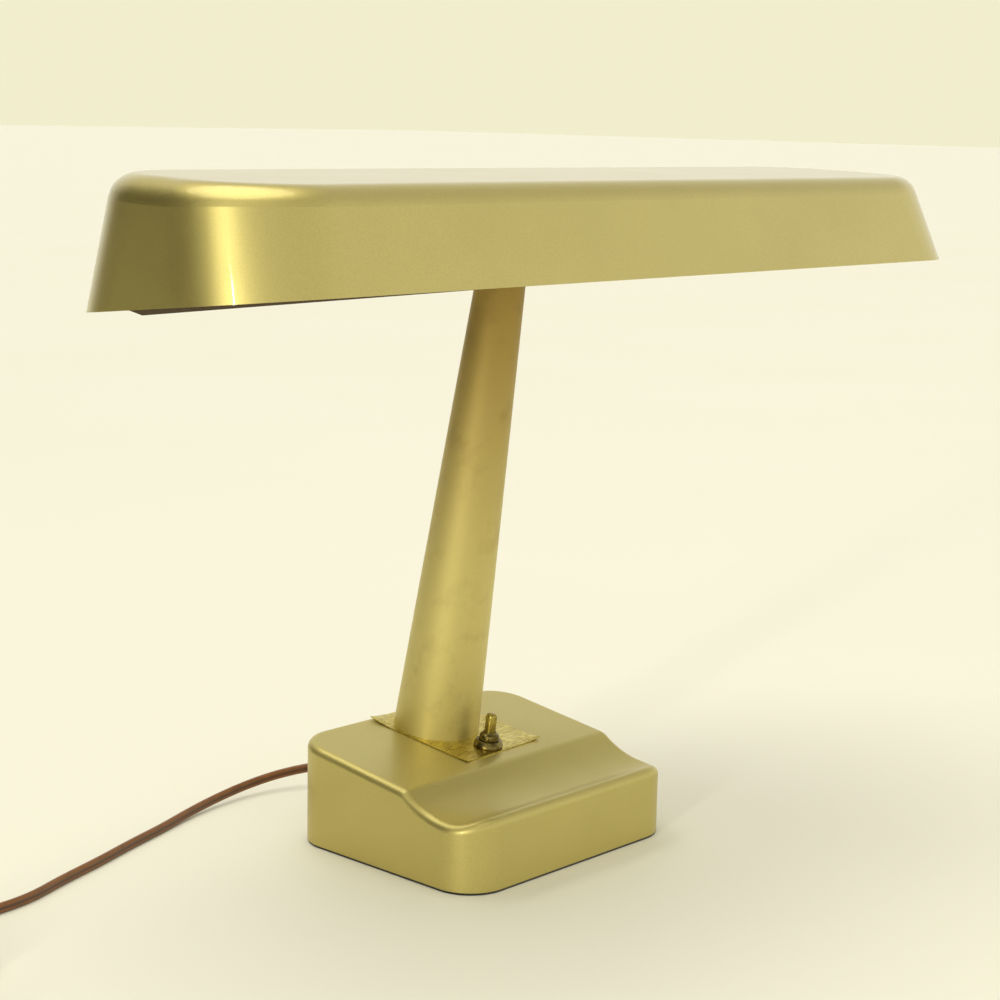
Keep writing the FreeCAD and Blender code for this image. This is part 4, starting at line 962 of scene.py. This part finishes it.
# ---- stage --------------------------------------------------------------------------
class LAMP_OT_stage(bpy.types.Operator):
    """Lays the floor, hangs the lights and sets the camera"""

    bl_idname = "lamp.stage"
    bl_label = "Stage"

    def execute(self, context):
        self.camera(context)
        self.floor(context)
        self.room(context)
        self.lights(context)
        context.scene.view_settings.view_transform = "Standard"
        return {"FINISHED"}

    def camera(self, context):
        data = bpy.data.cameras.new("camera")
        data.lens = context.scene.lamp_sizes.camera_lens
        data.sensor_width = SENSOR_WIDTH
        camera = bpy.data.objects.new("camera", data)
        context.scene.collection.objects.link(camera)
        azimuth, elevation, roll = (math.radians(angle) for angle in CAMERA_ANGLES)
        back = Vector((math.sin(azimuth) * math.cos(elevation),
                       -math.cos(azimuth) * math.cos(elevation), math.sin(elevation)))
        turn = back.to_track_quat("Z", "Y")
        camera.rotation_mode = "QUATERNION"
        camera.rotation_quaternion = turn @ Quaternion((0, 0, 1), roll)
        camera.location = CAMERA_PLACE
        context.scene.camera = camera

    def floor(self, context):
        deselect()
        bpy.ops.mesh.primitive_plane_add(size=FLOOR_SIZE)
        floor = named(context.object, "table_top")
        material, tree, place = new_material("pale_table")
        tint = add_node(tree, "ShaderNodeTexNoise",
                        {"Vector": place, "Scale": 1 / 0.4, "Detail": 3.0})
        tone = add_node(tree, "ShaderNodeMix",
                        {"Factor": tint, "A": srgb("#efede0"), "B": srgb("#ecead9")},
                        data_type="RGBA")
        shader = add_node(tree, "ShaderNodeBsdfPrincipled",
                          {"Base Color": tone, "Roughness": 0.6})
        floor.data.materials.append(finished(material, tree, shader))

    def room(self, context):
        """A cream room: bright all round, but dark behind on the left and dimmer overhead.

        The camera sees the cream backdrop itself; the lamp reflects the room.
        """
        world = bpy.data.worlds.new("studio")
        context.scene.world = world
        world.use_nodes = True
        tree = world.node_tree
        tree.nodes.clear()
        way = add_node(tree, "ShaderNodeTexCoord").outputs["Generated"]
        height = add_node(tree, "ShaderNodeSeparateXYZ", {0: way}).outputs["Z"]
        dark_side = add_node(tree, "ShaderNodeVectorMath",
                             {0: way, 1: Vector(DARK_SIDE).normalized()},
                             operation="DOT_PRODUCT")
        in_dark = add_node(tree, "ShaderNodeMapRange",
                           {"Value": dark_side, "From Min": 0.4, "From Max": 0.85},
                           interpolation_type="SMOOTHSTEP")
        overhead = add_node(tree, "ShaderNodeMapRange",
                            {"Value": height, "From Min": 0.25, "From Max": 0.8, "To Max": 0.75},
                            interpolation_type="SMOOTHSTEP")
        walls = add_node(tree, "ShaderNodeMix",
                         {"Factor": overhead, "A": srgb("#fffdf2"), "B": srgb("#b0ab9a")},
                         data_type="RGBA")
        walls = add_node(tree, "ShaderNodeMix",
                         {"Factor": in_dark, "A": walls, "B": srgb("#1e1408")},
                         data_type="RGBA")
        seen = add_node(tree, "ShaderNodeLightPath").outputs["Is Camera Ray"]
        around = add_node(tree, "ShaderNodeBackground",
                          {"Color": walls, "Strength": ROOM_STRENGTH})
        backdrop = add_node(tree, "ShaderNodeBackground", {"Color": srgb("#f2eecd")})
        both = add_node(tree, "ShaderNodeMixShader", {0: seen, 1: around, 2: backdrop})
        add_node(tree, "ShaderNodeOutputWorld", {"Surface": both})

    def lights(self, context):
        glow = bpy.data.lights.new("ceiling_glow", "SUN")
        glow.energy = GLOW_STRENGTH
        glow.angle = math.radians(GLOW_SPREAD)
        strip = bpy.data.lights.new("strip_light", "AREA")
        strip.shape = "RECTANGLE"
        strip.size, strip.size_y = STRIP_SIZE
        strip.energy = STRIP_WATTS
        strip.spread = math.radians(STRIP_SPREAD)
        for data, spot, aim in ((glow, GLOW_FROM, (0, 0, 0)), (strip, STRIP_PLACE, STRIP_AIM)):
            data.color = srgb(LIGHT_COLOUR)[:3]
            light = bpy.data.objects.new(data.name, data)
            context.scene.collection.objects.link(light)
            light.location = spot
            toward = Vector(aim) - Vector(spot)
            light.rotation_mode = "QUATERNION"
            light.rotation_quaternion = toward.to_track_quat("-Z", "Y")


# ---- panel and registration ---------------------------------------------------------
class LAMP_PT_tools(bpy.types.Panel):
    """Lists the lamp's makers in the sidebar"""

    bl_label = "Desk Lamp"
    bl_idname = "LAMP_PT_tools"
    bl_space_type = "VIEW_3D"
    bl_region_type = "UI"
    bl_category = "Desk Lamp"

    def draw(self, context):
        for maker in MAKERS:
            self.layout.operator(maker.bl_idname)
        for group in (context.scene.lamp_finish, context.scene.lamp_sizes):
            for name in group.__annotations__:
                self.layout.prop(group, name)


MAKERS = (LAMP_OT_stage, LAMP_OT_lead, LAMP_OT_body, LAMP_OT_relief, LAMP_OT_plate,
          LAMP_OT_switch, LAMP_OT_tube_caps)
CLASSES = (LampFinish, LampSizes, *MAKERS, LAMP_PT_tools)
FINISHES = {}


def register():
    for made in CLASSES:
        bpy.utils.register_class(made)
    bpy.types.Scene.lamp_finish = PointerProperty(type=LampFinish)
    bpy.types.Scene.lamp_sizes = PointerProperty(type=LampSizes)


def unregister():
    del bpy.types.Scene.lamp_sizes
    del bpy.types.Scene.lamp_finish
    for made in reversed(CLASSES):
        bpy.utils.unregister_class(made)


def main():
    register()
    FINISHES.update(make_materials(bpy.context.scene.lamp_finish))
    bpy.ops.lamp.stage()
    bpy.ops.lamp.lead()
    bpy.ops.lamp.body()
    bpy.ops.lamp.relief()
    bpy.ops.lamp.plate()
    bpy.ops.lamp.switch()
    bpy.ops.lamp.tube_caps()


if __name__ == "__main__":
    main()
